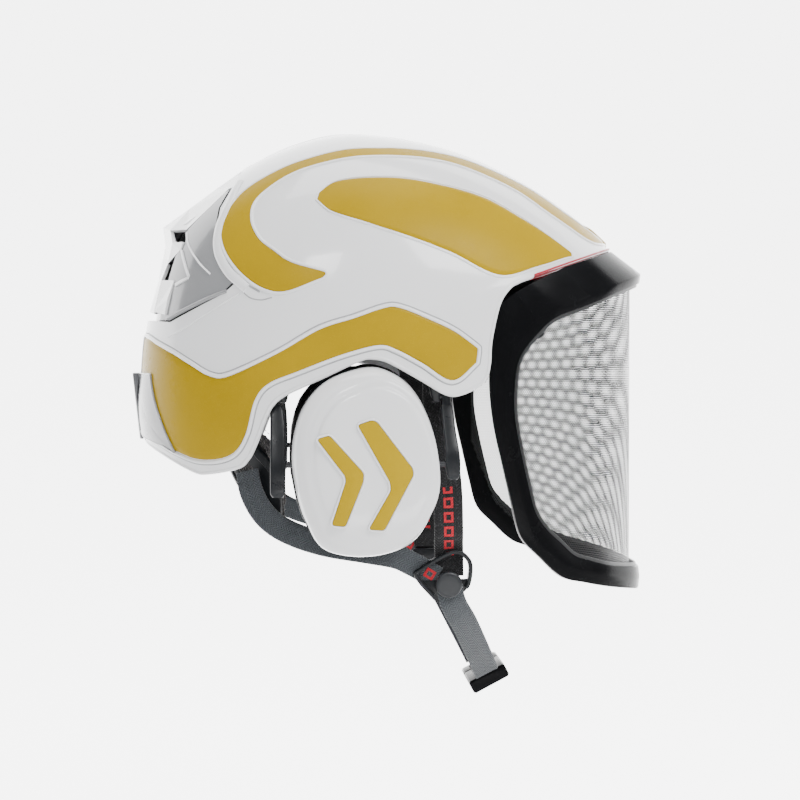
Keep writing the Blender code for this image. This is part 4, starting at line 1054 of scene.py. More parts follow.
def frame_rows():
    rows = np.array([frame_ring(row) for row in FRAME_HALF])
    steps = 5
    count = len(rows)
    out, sharp = [], []
    for i in range(count - 1):
        p1, p2 = rows[i], rows[i + 1]
        flip = np.array([1, -1, 1])
        p0 = rows[i - 1] if i else rows[1] * flip
        p3 = rows[i + 2] if i + 2 < count else rows[count - 2] * flip
        for k in range(steps):
            t = k / steps
            curve = 0.5 * (2 * p1 + (p2 - p0) * t
                           + (2 * p0 - 5 * p1 + 4 * p2 - p3) * t * t
                           + (3 * p1 - p0 - 3 * p2 + p3) * t ** 3)
            line = p1 * (1 - t) + p2 * t
            # flat facets at the brow's corner, on the outer face only
            flat = 1.0 if 3 <= i <= 6 else 0.0
            mix = np.array([flat, flat, 0, 0, flat])[:, None]
            if k == 0 and i in (4, 6):
                sharp.append(len(out))
            out.append(curve * (1 - mix) + line * mix)
    out.append(rows[-1])
    return out, sharp


def visor_frame():
    half, sharp = frame_rows()
    n = len(half)
    ring = [r * np.array([1, -1, 1]) for r in half] + half[-2:0:-1]
    creases = set(sharp) | set((2 * n - 2 - i) % (2 * n - 2) for i in sharp)
    rings = [rounded(r, 0.9, 3) for r in ring]
    obj = loft("visor_frame_shell", rings, BLACK, "visor", "frame_black",
               ("visor_frame",), closed_path=True, smooth=24)
    m = len(rings[0])
    mesh = obj.data
    wanted = set()
    for i in creases:
        for j in range(1, 4):
            wanted.add((i * m + j, i * m + j + 1))
    attr = mesh.attributes.get("sharp_edge") or mesh.attributes.new(
        "sharp_edge", "BOOLEAN", "EDGE")
    for e in mesh.edges:
        key = tuple(sorted(e.vertices))
        if key in wanted:
            attr.data[e.index].value = True
    return obj


visor_frame()

# The raised lip along the pane, all round the opening.
half, _ = frame_rows()
lip = np.array([r[2] * np.array([1, -1, 1]) for r in half]
               + [r[2] for r in half[-2:0:-1]])
inner = np.array([r[3] * np.array([1, -1, 1]) for r in half]
                 + [r[3] for r in half[-2:0:-1]])


def lip_ring():
    """A slim lighter ledge inside the opening, in front of the pane."""
    n = len(lip)
    middle = lip.mean(0)
    rings = []
    for i in range(n):
        t = unit(lip[(i + 1) % n] - lip[i - 1])
        deep = unit(inner[i] - lip[i])
        into = np.cross(t, deep)
        if into.dot(np.array([lip[i][0], lip[i][1] * 0.4, middle[2]]) - lip[i]) < 0:
            into = -into
        c = lip[i] + deep * 1.6
        w = 2.1
        rings.append(rounded([c - into * 0.8, c + into * w, c + into * w + deep * 1.3,
                              c - into * 0.8 + deep * 2.4], 0.4, 3))
    return loft("visor_lip", rings, LIP, "visor", "frame_black", closed_path=True,
                smooth=60)


LIP = plastic("lip_grey", (0.020, 0.021, 0.022), rough=0.42, vary=0.12, bump=0.05)
lip_ring()

# =============================================================== visor pane
PANE_IN = 5.9


def pane_edges(q):
    x = VISOR_X + (VISOR_A - PANE_IN) * math.cos(q)
    top = 6.6 + (x - 90) * 0.33 + max(0.0, x - 108) * 0.04
    if x < 92:
        top = -12.0 + (x - 76.0) * 1.16
    if x < 76:
        top = -12.0 + (x - 76.0) * 2.4
    bottom = -128.4 - (x - 96) * 0.33
    if x < 96:
        bottom = -128.4 + (96 - x) * 0.95
    if x < 84:
        bottom = -117.0 + (84 - x) * 2.6
    return top, bottom - 1.8


def perforated_pane():
    """An etched screen: staggered six-sided holes in a thin curved sheet."""
    pitch, row = 1.34, 1.14
    qs = np.linspace(-math.radians(85), math.radians(85), 2001)
    xs = VISOR_X + (VISOR_A - PANE_IN) * np.cos(qs)
    ys = (VISOR_B - PANE_IN) * np.sin(qs)
    run = np.concatenate([[0], np.cumsum(np.hypot(np.diff(xs), np.diff(ys)))])
    run -= run[-1] / 2
    tops, bottoms = np.array([pane_edges(q) for q in qs]).T
    corner_u = np.array([0, 0.5, 0.5, 0, -0.5, -0.5]) * pitch
    corner_v = np.array([2 / 3, 1 / 3, -1 / 3, -2 / 3, -1 / 3, 1 / 3]) * row
    centres = []
    rows = int(200 / row)
    cols = int(run[-1] * 2 / pitch) + 2
    for j in range(rows):
        z = -160 + j * row
        shift = 0.5 * pitch if j % 2 else 0.0
        u = (np.arange(cols) - cols // 2) * pitch + shift
        t = np.interp(u, run, tops)
        b = np.interp(u, run, bottoms)
        keep = (u > run[0] + 1) & (u < run[-1] - 1) & (z < t - 0.9) & (z > b + 0.9)
        centres += [(a, z) for a in u[keep]]
    centres = np.array(centres)
    n = len(centres)
    outer = centres[:, None, :] + np.stack([corner_u, corner_v], 1)[None]
    hole = np.stack([corner_u * 0.63, corner_v * 0.57], 1)
    inner_pts = centres[:, None, :] + hole[None]
    flat = np.round(outer.reshape(-1, 2) * 50).astype(np.int64)
    _, first, index = np.unique(flat, axis=0, return_index=True, return_inverse=True)
    index = index.reshape(n, 6)
    shared = outer.reshape(-1, 2)[first]
    k = len(shared)
    front = inner_pts.reshape(-1, 2)
    plane = np.vstack([shared, front])
    depth = np.zeros(k + len(front))
    q = np.interp(plane[:, 0], run, qs)
    nx, ny = np.cos(q) / (VISOR_A - PANE_IN), np.sin(q) / (VISOR_B - PANE_IN)
    ln = np.hypot(nx, ny)
    nx, ny = nx / ln, ny / ln
    x = VISOR_X + (VISOR_A - PANE_IN) * np.cos(q) - nx * depth
    y = (VISOR_B - PANE_IN) * np.sin(q) - ny * depth
    verts = np.stack([x, y, plane[:, 1]], 1)
    base = k + np.arange(n)[:, None] * 6
    faces = []
    for a in range(6):
        b = (a + 1) % 6
        faces.append(np.stack([index[:, a], index[:, b], base[:, 0] + b,
                               base[:, 0] + a], 1))
    faces = np.vstack(faces)
    mesh = bpy.data.meshes.new("visor_screen")
    mesh.from_pydata((verts * MM).tolist(), [], faces.tolist())
    mesh.update()
    out = np.zeros(len(mesh.polygons) * 3)
    mesh.polygons.foreach_get("normal", out)
    if out.reshape(-1, 3)[:n * 6, 0].sum() < 0:
        mesh.flip_normals()
    return finish_piece("visor_screen", mesh, SCREEN, "visor",
                        ("visor_mesh",))


SCREEN = plastic("screen_metal", (0.014, 0.0144, 0.0155), rough=0.42, spread=0.1,
                 metal=0.2, vary=0.1, bump=0.0, specular=0.4)
perforated_pane()

# Small catch knob behind the pane's upper corner, on each side.
for s, tag in ((-1, "r"), (1, "l")):
    v1, f1 = rod((83, s * 83.6, -3), (83, s * 80.2, -3), 3.1, 24, 0.7)
    v2, f2 = rod((83, s * 81.0, -3), (83, s * 79.0, -3), 4.6, 24, 0.6)
    v2f = [[i + len(v1) for i in f] for f in f2]
    make("visor_knob_" + tag, list(v1) + list(v2), f1 + v2f, DARK, "visor",
         "hardware_dark", flip=False)

# Red seal under the shell's front edge: a round lip over a flat foot.
def seal(name, rows, mat, replaces=()):
    rings = []
    for k in range(121):
        y = 94.5 * math.sin(math.radians(-86 + 172 * k / 120))
        x = brow_x(abs(y))
        n = Vector((x - 30, y * 0.9, 0)).normalized()
        ring = []
        for a, b in rows:
            px = x - n.x * a
            ring.append((px, y - n.y * a, edge_z(px) - b))
        rings.append(rounded(ring, 0.35, 3))
    return loft(name, rings, mat, "helmet", "seal_red", replaces, smooth=60)


RED_DEEP = plastic("seal_red_deep", (0.16, 0.0015, 0.008), rough=0.45, vary=0.1)
seal("brow_seal_lip", ((-0.9, -0.7), (2.4, 0.55), (2.4, 1.35), (-0.9, 0.55)), RED,
     ("brow_seal",))
seal("brow_seal_foot", ((-0.5, 0.6), (3.2, 1.4), (3.2, 2.4), (-0.5, 1.7)), RED_DEEP)

for s, tag in ((-1, "r"), (1, "l")):
    refine("visor_arm_" + tag, "visor_slide_arm_" + tag, BLACK, "frame_black", 0.5)
    refine("visor_bracket_" + tag, "visor_ear_" + tag, BLACK, "frame_black", 0.5)
    refine("visor_pin_" + tag, "visor_rivet_" + tag, STEEL, "pin_steel", 0.25)
    refine("visor_rail_" + tag, "visor_track_" + tag, DARK, "hardware_dark", 0.6)

PIN = plastic("pin_dark_steel", (0.030, 0.031, 0.034), rough=0.32, metal=0.6)

# =============================================================== ear muffs
CUP = [(-17, -24), (-2, -27.6), (9, -37), (17, -51.6), (21.9, -69),
       (23.5, -89), (19.4, -104), (7, -121.6), (-16, -128.4), (-40, -124.4),
       (-50.4, -109), (-56.4, -89), (-58, -68.6), (-52.4, -47), (-39, -31.6)]
CUP_MID = (-17.0, -76.5)
CUP_LINE = resample(catmull(CUP, 8, closed=True), 96, closed=True)


def cup_row(scale, d, side, inset=0.0, line=CUP_LINE, lean_by=0.0):
    out = []
    lean = 4.2 * min(1.0, max(0.0, (0.99 - scale) / 0.13)) * lean_by
    for i, (x, z) in enumerate(line):
        v = np.array([x - CUP_MID[0], z - CUP_MID[1]])
        k = scale * (np.linalg.norm(v) - inset) / np.linalg.norm(v)
        depth = d(v) if callable(d) else d
        out.append((CUP_MID[0] + v[0] * k + lean, side * depth,
                    CUP_MID[1] + v[1] * k))
    return np.array(out)


def upper(v):
    """1 at the top of the cup, fading to 0 below its middle."""
    t = min(1.0, max(0.0, (v[1] + 6) / 34))
    return t * t * (3 - 2 * t)


def cup_profile(side):
    """Rings from the rim over the wall and the soft steps to the middle."""
    rows = [(0.80, 121.0, 0), (0.93, 112.6, 2.6), (1.0, 103.5, 3.0),
            (1.0, 92.2, 3.0), (1.0, 91.9, 1.5), (1.0, 92.2, 0.0), (1.0, 95.0, 0.0),
            (1.0, 95.6, 0.9), (1.0, 96.2, 0.9), (1.0, 96.8, 0.0), (1.0, 104, 0.0),
            (1.0, 110, 0.0), (0.997, 113, 0.1), (0.990, 115.4, 0.3),
            (0.975, 117.8, 0.5), (0.955, 119.6, 0.7), (0.93, 121.0, 0.9)]
    rings = [cup_row(k, d, side, i, lean_by=1.0 if j > 4 else 0.0)
             for j, (k, d, i) in enumerate(rows)]
    for k, flat, step in ((0.905, 121.9, 121.5), (0.890, 122.3, 121.7),
                          (0.878, 122.6, 122.4), (0.862, 122.9, 122.9),
                          (0.835, 123.4, 123.2), (0.815, 123.7, 123.3),
                          (0.80, 124.0, 123.5), (0.785, 124.3, 124.5),
                          (0.765, 124.6, 125.0), (0.73, 124.9, 125.3),
                          (0.66, 125.4, 125.5), (0.56, 125.8, 125.8),
                          (0.42, 126.05, 126.05), (0.25, 126.2, 126.2),
                          (0.08, 126.25, 126.25)):
        rings.append(cup_row(k, lambda v, a=flat, b=step: a + (b - a) * upper(v),
                             side, lean_by=1.0))
    return rings


def rounded_outline(points, r, parts=5):
    q = rounded([(x, 0.0, z) for x, z in points], r, parts)
    return [(p[0], p[2]) for p in q]


def grown(points, d):
    """A closed side outline moved outward by d."""
    p = np.array(points, float)
    area_ = 0.5 * np.sum(p[:, 0] * np.roll(p[:, 1], -1)
                         - np.roll(p[:, 0], -1) * p[:, 1])
    t = np.roll(p, -1, 0) - np.roll(p, 1, 0)
    n = np.stack([t[:, 1], -t[:, 0]], 1) * (1 if area_ > 0 else -1)
    n /= np.maximum(1e-9, np.linalg.norm(n, axis=1))[:, None]
    return p + n * d


CHEVRONS = {
    "rear": [(-44.5, -65.5), (-37.8, -63.6), (-19.4, -84), (-19.8, -88.6),
             (-29.4, -112.6), (-36.6, -111.8), (-29, -88.4), (-29.4, -85.4)],
    "front": [(-22.6, -58), (-15, -55.4), (-12.2, -56.4), (7, -81.6), (7.4, -85),
              (-8.4, -114.8), (-16.6, -114.2), (-4.6, -93.2), (-5.2, -88.8)]}


def border(name, outline, side, y, width, height, mat, body, slot):
    """A low rounded welt round a flat outline on the cup's face."""
    line = resample(np.array([(x, side * y, z) for x, z in outline]), 120, True)
    n = len(line)
    rings = []
    for i in range(n):
        t = unit(line[(i + 1) % n] - line[i - 1])
        w = unit(np.cross(t, (0, side, 0)))
        ring = [line[i] + w * math.cos(h) * width / 2
                + np.array([0, side, 0]) * math.sin(h) * height
                for h in np.linspace(0, math.pi, 6)]
        ring += [line[i] - w * width * 0.45 - np.array([0, side * 1.6, 0]),
                 line[i] + w * width * 0.45 - np.array([0, side * 1.6, 0])]
        rings.append(np.array(ring))
    return loft(name, rings, mat, body, slot, closed_path=True, smooth=50)


for s, tag in ((-1, "r"), (1, "l")):
    body = "muff_" + tag
    cup = loft("cup_shell_" + tag, cup_profile(s), SHELL, body, "shell_white",
               ("ear_cup_" + tag,), smooth=50)
    for x0, x1 in ((-62, -48), (12, 30)):
        cut(cup, *rod((x0, s * 104, -78), (x1, s * 104, -78), 2.1, 20))
    cup.data.shade_smooth()
    cup.data.set_sharp_from_angle(angle=math.radians(50))
    welts = []
    for which, outline in CHEVRONS.items():
        line = rounded_outline([(x, z + 2.6) for x, z in outline], 1.6)
        plate("chevron_%s_%s" % (which, tag), [tuple(p) for p in line],
              *sided(s, 125.2, 127.1), GOLD_CUP, body, "panel_gold",
              ("cup_chevron_%s_%s" % (which, tag),), edge=0.25)
        welts.append(border("w", [tuple(p) for p in grown(line, 0.75)], s, 126.2,
                            1.3, 1.05, SHELL, body, "shell_white"))
    join("chevron_welts_" + tag, welts)

    # Slider: an inverted U and its stem; two legs with their pins.
    slider = [(-20, 38), (-10, 38), (-10, 1), (8, 0), (20, -10), (24.5, -22),
              (25.4, -44), (20.8, -44), (17, -26), (7, -11), (-2, -8),
              (-50, -10), (-58, -16), (-60, -26), (-60.6, -44), (-64.8, -44),
              (-65.4, -22), (-60, -8), (-48, 0), (-20, 1)]
    plate("muff_hoop_" + tag, slider, *sided(s, 93.2, 97.2), DARK,
          "muff_lift_" + tag, "hardware_dark", ("muff_slider_" + tag,), edge=1.1,
          corner=3.0)
    refine("muff_guide_" + tag, "muff_sleeve_" + tag, DARK, "hardware_dark", 0.6)
    for leg, sections in (
            ("rear", ((-36, -65.4, -69.4, 92.8, 97.2),
                      (-44, -65.4, -69.8, 92.9, 97.4),
                      (-47, -63.0, -70.0, 93.2, 98.0),
                      (-60, -61.6, -70.0, 97.0, 102.2),
                      (-78, -61.4, -70.0, 101, 107),
                      (-88, -61.6, -70.0, 101.4, 107.4),
                      (-96, -61.8, -70.0, 101.6, 107.2))),
            ("front", ((-36, 26.0, 30.6, 92.8, 97.2),
                       (-44, 26.0, 31.4, 92.9, 97.4),
                       (-47, 25.4, 32.4, 93.2, 98.0),
                       (-60, 26.4, 33.6, 97.0, 102.2),
                       (-72, 27.2, 35.2, 100.6, 106.4),
                       (-80, 27.4, 35.6, 101, 107),
                       (-87, 28.6, 35.0, 101.4, 106.6)))):
        rows = catmull(np.array(sections), 5)
        last = len(rows) - 1
        rings = []
        for i, (z, x0, x1, a, b) in enumerate(rows):
            shrink = 0.0
            if i == last:
                shrink = 1.2
            elif i == last - 1:
                shrink = 0.25
            x0, x1 = sorted((x0, x1))
            ring = [(x0 + shrink, s * (a + shrink), z),
                    (x1 - shrink, s * (a + shrink), z),
                    (x1 - shrink, s * (b - shrink), z),
                    (x0 + shrink, s * (b - shrink), z)]
            # the section's corners rounded
            ring = rounded(ring, 1.3, 4)
            rings.append(ring)
        arm = loft("yoke_arm_%s_%s" % (leg, tag), rings, DARK, "yoke_" + tag,
                   "hardware_dark", ("yoke_leg_%s_%s" % (leg, tag),), smooth=50)
        if leg == "rear":
            pins = (((-66.4, -60.2), (95.2, -40.5), 1.45),
                    ((-62.6, -54.6), (104, -78), 1.8))
        else:
            pins = (((27.4, 21.0), (95.2, -40.5), 1.45),
                    ((28.6, 20.4), (104, -78), 1.8))
        studs = [make("p", *rod((x0, s * d, z), (x1, s * d, z), r, 18, 0.3), PIN,
                      "yoke_" + tag, "pin_steel")
                 for (x0, x1), (d, z), r in pins]
        join("yoke_pins_%s_%s" % (leg, tag), studs)

# =============================================================== soft goods
def puff(obj, voxel=0.003, pressure=4.0, cap=0.0016, frames=20, rounds=1):
    """Padded fabric: remeshed, blown up by a cloth simulation and applied."""
    mat = obj.data.materials[0]
    mod = obj.modifiers.new("remesh", "REMESH")
    mod.mode = "VOXEL"
    mod.voxel_size = voxel
    mod.use_smooth_shade = True
    bake(obj)
    count = len(obj.data.vertices)
    rest = np.zeros(count * 3)
    obj.data.vertices.foreach_get("co", rest)
    cloth = obj.modifiers.new("cloth", "CLOTH")
    s = cloth.settings
    s.quality = 5
    s.mass = 0.3
    s.tension_stiffness = 12
    s.compression_stiffness = 12
    s.shear_stiffness = 6
    s.bending_stiffness = 0.4
    s.use_pressure = True
    s.uniform_pressure_force = pressure
    s.effector_weights.gravity = 0
    cloth.collision_settings.use_collision = False
    cloth.collision_settings.use_self_collision = False
    cloth.point_cache.frame_start = 1
    cloth.point_cache.frame_end = frames
    scene = bpy.context.scene
    for frame_number in range(1, frames + 1):
        scene.frame_set(frame_number)
    graph = bpy.context.evaluated_depsgraph_get()
    done = obj.evaluated_get(graph).to_mesh()
    moved = np.zeros(len(done.vertices) * 3)
    done.vertices.foreach_get("co", moved)
    obj.evaluated_get(graph).to_mesh_clear()
    obj.modifiers.clear()
    scene.frame_set(1)
    if len(moved) == len(rest):
        d = (moved - rest).reshape(-1, 3)
        length = np.linalg.norm(d, axis=1)
        length[length < 1e-9] = 1e-9
        d *= np.minimum(1.0, cap / length)[:, None]
        obj.data.vertices.foreach_set("co", (rest.reshape(-1, 3) + d).ravel())
    sub = obj.modifiers.new("smooth", "SUBSURF")
    sub.levels = sub.render_levels = 1
    bake(obj)
    obj.data.shade_smooth()
    obj.data.materials.clear()
    obj.data.materials.append(mat)
    return obj


def soft(name, rings, mat, body, slot, node, closed_path=False,
         voxel=0.003, cap=0.0014):
    obj = loft(name, rings, mat, body, slot, (node,), closed_path, smooth=180)
    puff(obj, voxel=voxel, cap=cap)
    return obj


# Ear cushions: a stuffed vinyl ring on each cup, with a welded seam.
def cushion(side, tag):
    body = "muff_" + tag
    line = resample(catmull(CUP, 8, closed=True), 72, closed=True)
    profile = [(1.0, 91.2), (1.035, 88.6), (1.045, 85.6), (1.02, 82.4),
               (0.96, 80.8), (0.88, 80.4), (0.79, 80.9), (0.72, 82.6),
               (0.68, 85.4), (0.67, 88.4), (0.685, 91.2)]
    grid = [cup_row(k, d, side, line=line) for k, d in profile]
    rings = []
    for i in range(72):
        wave = 0.35 * math.sin(i * 2.1) + 0.25 * math.sin(i * 0.9 + 1.0)
        ring = np.array([g[i] for g in grid])
        ring[3:8, 1] += side * wave
        rings.append(ring)
    obj = soft("ear_cushion_vinyl_" + tag, rings, VINYL, body, "cushion_black",
               "ear_cushion_" + tag, True, 0.0028, 0.0010)
    seam = []
    edge = cup_row(1.012, 90.9, side, line=line)
    for i in range(72):
        t = unit(edge[(i + 1) % 72] - edge[i - 1])
        o = unit(np.cross(t, (0, 1, 0)))
        seam.append(np.array([edge[i] + o * 0.7 * math.cos(h)
                              + np.array([0, 1, 0]) * 0.7 * math.sin(h)
                              for h in np.linspace(0, 2 * math.pi, 9)[:-1]]))
    loft("cushion_seam_" + tag, seam, VINYL, body, "cushion_black",
         closed_path=True, smooth=180)
    foam = [cup_row(k, d, side) for k, d in
            ((0.74, 112), (0.77, 111.2), (0.80, 106), (0.82, 101), (0.80, 99.6),
             (0.60, 99.0), (0.36, 98.8), (0.15, 98.7))]
    for ring in foam[5:]:
        ring[:, 1] += side * 0.4 * np.sin(ring[:, 0] * 0.9) * np.cos(ring[:, 2] * 0.9)
    pad = loft("cup_foam_pad_" + tag, foam, FOAM, body, "liner_foam",
               ("cup_foam_" + tag,), smooth=70)


for s, tag in ((-1, "r"), (1, "l")):
    cushion(s, tag)

# Liner, headband and pads.
LINER_EDGE = [(150, 62), (112, 50), (80, 38), (56, 28), (46, 10), (40, -12),
              (26, -22), (8, -12), (-14, -6), (-40, -14), (-62, -24),
              (-78, -40), (-90, -62), (-112, -68), (-150, -58)]


def inner_solid(half, off, segments, rings):
    verts, faces = ellipsoid(half, off, segments, rings)
    power = 2.5
    out = []
    n = segments
    for i in range(1, rings):
        rise = -math.pi / 2 + math.pi * i / rings
        s = abs(math.cos(rise)) ** (2 / power)
        w = abs(math.sin(rise)) ** (2 / power) * (1 if rise >= 0 else -1)
        for k in range(n):
            a = 2 * math.pi * k / n
            r = (float(radius(a)) + off) * s
            out.append((CENTRE[0] + r * math.cos(a), half * w,
                        CENTRE[1] + r * math.sin(a)))
    return out + verts[-2:], faces


def foam_cells(name, colour, scale=260.0):
    mat, tree, shader = nodes_of(name)
    shader.inputs["Roughness"].default_value = 0.8
    shader.inputs["Specular IOR Level"].default_value = 0.25
    coord = add(tree, "ShaderNodeTexCoord")
    cells = add(tree, "ShaderNodeTexVoronoi", Scale=scale)
    tree.links.new(coord.outputs["Object"], cells.inputs["Vector"])
    tone = ramp(tree, cells.outputs["Distance"], [(0.0, tint(colour, 1.35)),
                                                  (0.75, tint(colour, 0.6))])
    tree.links.new(tone.outputs["Color"], shader.inputs["Base Color"])
    node = add(tree, "ShaderNodeBump", Strength=0.4, Distance=0.0006)
    node.invert = True
    tree.links.new(cells.outputs["Distance"], node.inputs["Height"])
    tree.links.new(node.outputs["Normal"], shader.inputs["Normal"])
    return mat


BEADS = foam_cells("liner_beads", (0.016, 0.016, 0.018))
liner = make("liner_shell", *inner_solid(81.0, -11.0, 96, 48), BEADS,
             slot="liner_foam", replaces=("inner_liner",), smooth=35)
cut(liner, *inner_solid(78.4, -26.0, 72, 36))
cut(liner, *prism([tuple(p) for p in catmull(LINER_EDGE, 4)]
                  + [(-160, 140), (165, 140)], -140, 140), operation="INTERSECT")
liner.data.shade_smooth()
liner.data.set_sharp_from_angle(angle=math.radians(35))

band = []
for k in range(144):
    c, q = math.cos(2 * math.pi * k / 144), math.sin(2 * math.pi * k / 144)
    band.append(rounded([(92 * c, 74.6 * q, -9), (93.8 * c, 76.4 * q, -9),
                         (93.8 * c, 76.4 * q, 9), (92 * c, 74.6 * q, 9)], 0.6, 3))
loft("headband_ring", band, DARK, "helmet", "hardware_dark", ("headband",),
     closed_path=True, smooth=50)

rings = []
for k in range(57):
    q = math.radians(-58 + 116 * k / 56)
    c, t = math.cos(q), 4.0 + 2.4 * math.cos(q)
    end = min(1.0, math.sqrt(max(0.02, 1 - (abs(k - 28) / 28.5) ** 6)))
    quilt = 0.55 * abs(math.sin(math.pi * k / 8))
    t = t * (0.55 + 0.45 * end) + quilt
    ring = [((91.3 - d) * c, (73.9 - d) * math.sin(q), z * end)
            for d, z in ((0.2, -9.4), (0.2, 9.4), (t * 0.75, 8.6), (t, 4.5),
                         (t + 0.2, 0), (t, -4.5), (t * 0.75, -8.6))]
    rings.append(np.array(ring))
soft("brow_pad_cloth", rings, PAD, "helmet", "pad_fabric", "brow_pad", voxel=0.0026,
     cap=0.0012)

verts, faces = [], []
n_u, n_v = 48, 16
for i in range(1, n_v):
    h = math.pi * i / n_v
    for k in range(n_u):
        a = 2 * math.pi * k / n_u
        dimple = 0.10 * (1 - abs(math.cos(3 * a)) ** 0.5) * math.sin(h) ** 4
        r = math.sin(h) * (1 - dimple)
        x, y, z = r * math.cos(a), r * math.sin(a), math.cos(h)
        verts.append((-24 + 44.5 * x, 32.5 * y, 77 + 4.6 * z
                      - 0.0032 * ((44.5 * x) ** 2 + (32.5 * y) ** 2)))
faces = tube_faces(n_v - 1, n_u)
verts += [(-24, 0, 81.6), (-24, 0, 72.4)]
top_i, low_i = len(verts) - 2, len(verts) - 1
for k in range(n_u):
    faces.append((k, (k + 1) % n_u, top_i))
    faces.append(((n_v - 2) * n_u + k, (n_v - 2) * n_u + (k + 1) % n_u, low_i))
crown = make("crown_pad_cloth", verts, faces, PAD, slot="pad_fabric",
             replaces=("crown_pad",), smooth=180)
puff(crown, voxel=0.003, cap=0.0012)

# =============================================================== nape cradle
WING = [(-103, 0, -62, 26), (-102, 20, -63, 26), (-97.5, 40, -67, 28),
        (-90, 54, -77, 34), (-80, 62.5, -88, 38), (-70, 67, -98, 34),
        (-65.5, 68.4, -106, 20)]


def wing_rows(steps=6):
    left = catmull(np.array(WING, float), steps)
    right = left[::-1][:-1].copy()
    right[:, 1] *= -1
    return np.vstack([right, left])


def wing_ring(row, profile, grow=0.0):
    """A section of the cradle: profile points are (share of height, depth)."""
    x, y, z, h = row
    n = unit((x * 0.8, y, 0))
    hh = h / 2 + grow
    return np.array([(x - n[0] * d, y - n[1] * d, z + hh * t) for t, d in profile])


SHELL_OF_WING = [(-1.0, 0.5), (-0.97, 0.0), (-0.84, 0.0), (-0.79, 0.9),
                 (0.62, 0.9), (0.67, 0.0), (0.97, 0.0), (1.0, 0.5), (1.0, 2.6),
                 (0.97, 3.0), (-0.97, 3.0), (-1.0, 2.6)]
rows = wing_rows()
rings = []
for i, row in enumerate(rows):
    row = row.copy()
    edge = min(i, len(rows) - 1 - i)
    if edge < 3:
        row[3] *= (0.80, 0.92, 0.98)[edge]
    rings.append(wing_ring(row, SHELL_OF_WING))
nape = loft("nape_wing", rings, DARK, "nape", "hardware_dark", ("nape_cradle",),
            smooth=40)
for s in (-1, 1):
    line = rounded_outline([(-91.5, -83), (-85.5, -78.4), (-76.6, -86),
                            (-80.6, -92)], 2.2)
    cut(nape, *prism(line, *sided(s, 50, 80)))
bevel(nape, 0.35, 2, 40)

PAD_OF_WING = [(-0.98, 3.9), (-0.6, 3.6), (0.0, 3.6), (0.6, 3.6), (0.98, 3.9),
               (1.0, 5.2), (0.9, 7.0), (0.5, 7.6), (0.0, 7.7), (-0.5, 7.6),
               (-0.9, 7.0), (-1.0, 5.2)]
rings = []
for i, row in enumerate(rows):
    row = row.copy()
    edge = min(i, len(rows) - 1 - i)
    if edge < 3:
        row[3] *= (0.80, 0.92, 0.98)[edge]
    ring = wing_ring(row, PAD_OF_WING, 2.7)
    rings.append(ring)
nape_pad = soft("nape_pad_cloth", rings, PAD, "nape", "pad_fabric", "nape_pad",
                voxel=0.003, cap=0.0012)

# Stitches along the pad's two long edges.
THREAD = plastic("stitch_thread", (0.16, 0.15, 0.145), rough=0.8, vary=0.25,
                 bump=0.3, blotch=400.0)
stitches = []
edge_rows = resample(rows, 150)
for sign in (-1, 1):
    for k in range(1, 148, 2):
        a, b = edge_rows[k], edge_rows[k + 1]
        p = wing_ring(a, [(sign * 1.0, 5.0)], 3.5)[0]
        q = wing_ring(b, [(sign * 1.0, 5.4)], 3.5)[0]
        stitches.append(make("t", *rod(p, q, 0.28, 6), THREAD, "nape", "pad_fabric"))
join("nape_pad_stitches", stitches)

refine("size_knob", "size_wheel", DARK, "hardware_dark", 0.5)

# =============================================================== harness
def strap_section(width, thick):
    w, t = width / 2, thick / 2
    return [(-w, 0), (-w + 0.25, t * 0.8), (-w + 0.8, t), (-w * 0.5, t * 0.92),
            (0, t * 0.9), (w * 0.5, t * 0.92), (w - 0.8, t), (w - 0.25, t * 0.8),
            (w, 0), (w - 0.25, -t * 0.8), (w - 0.8, -t), (0, -t * 0.9),
            (-w + 0.8, -t), (-w + 0.25, -t * 0.8)]


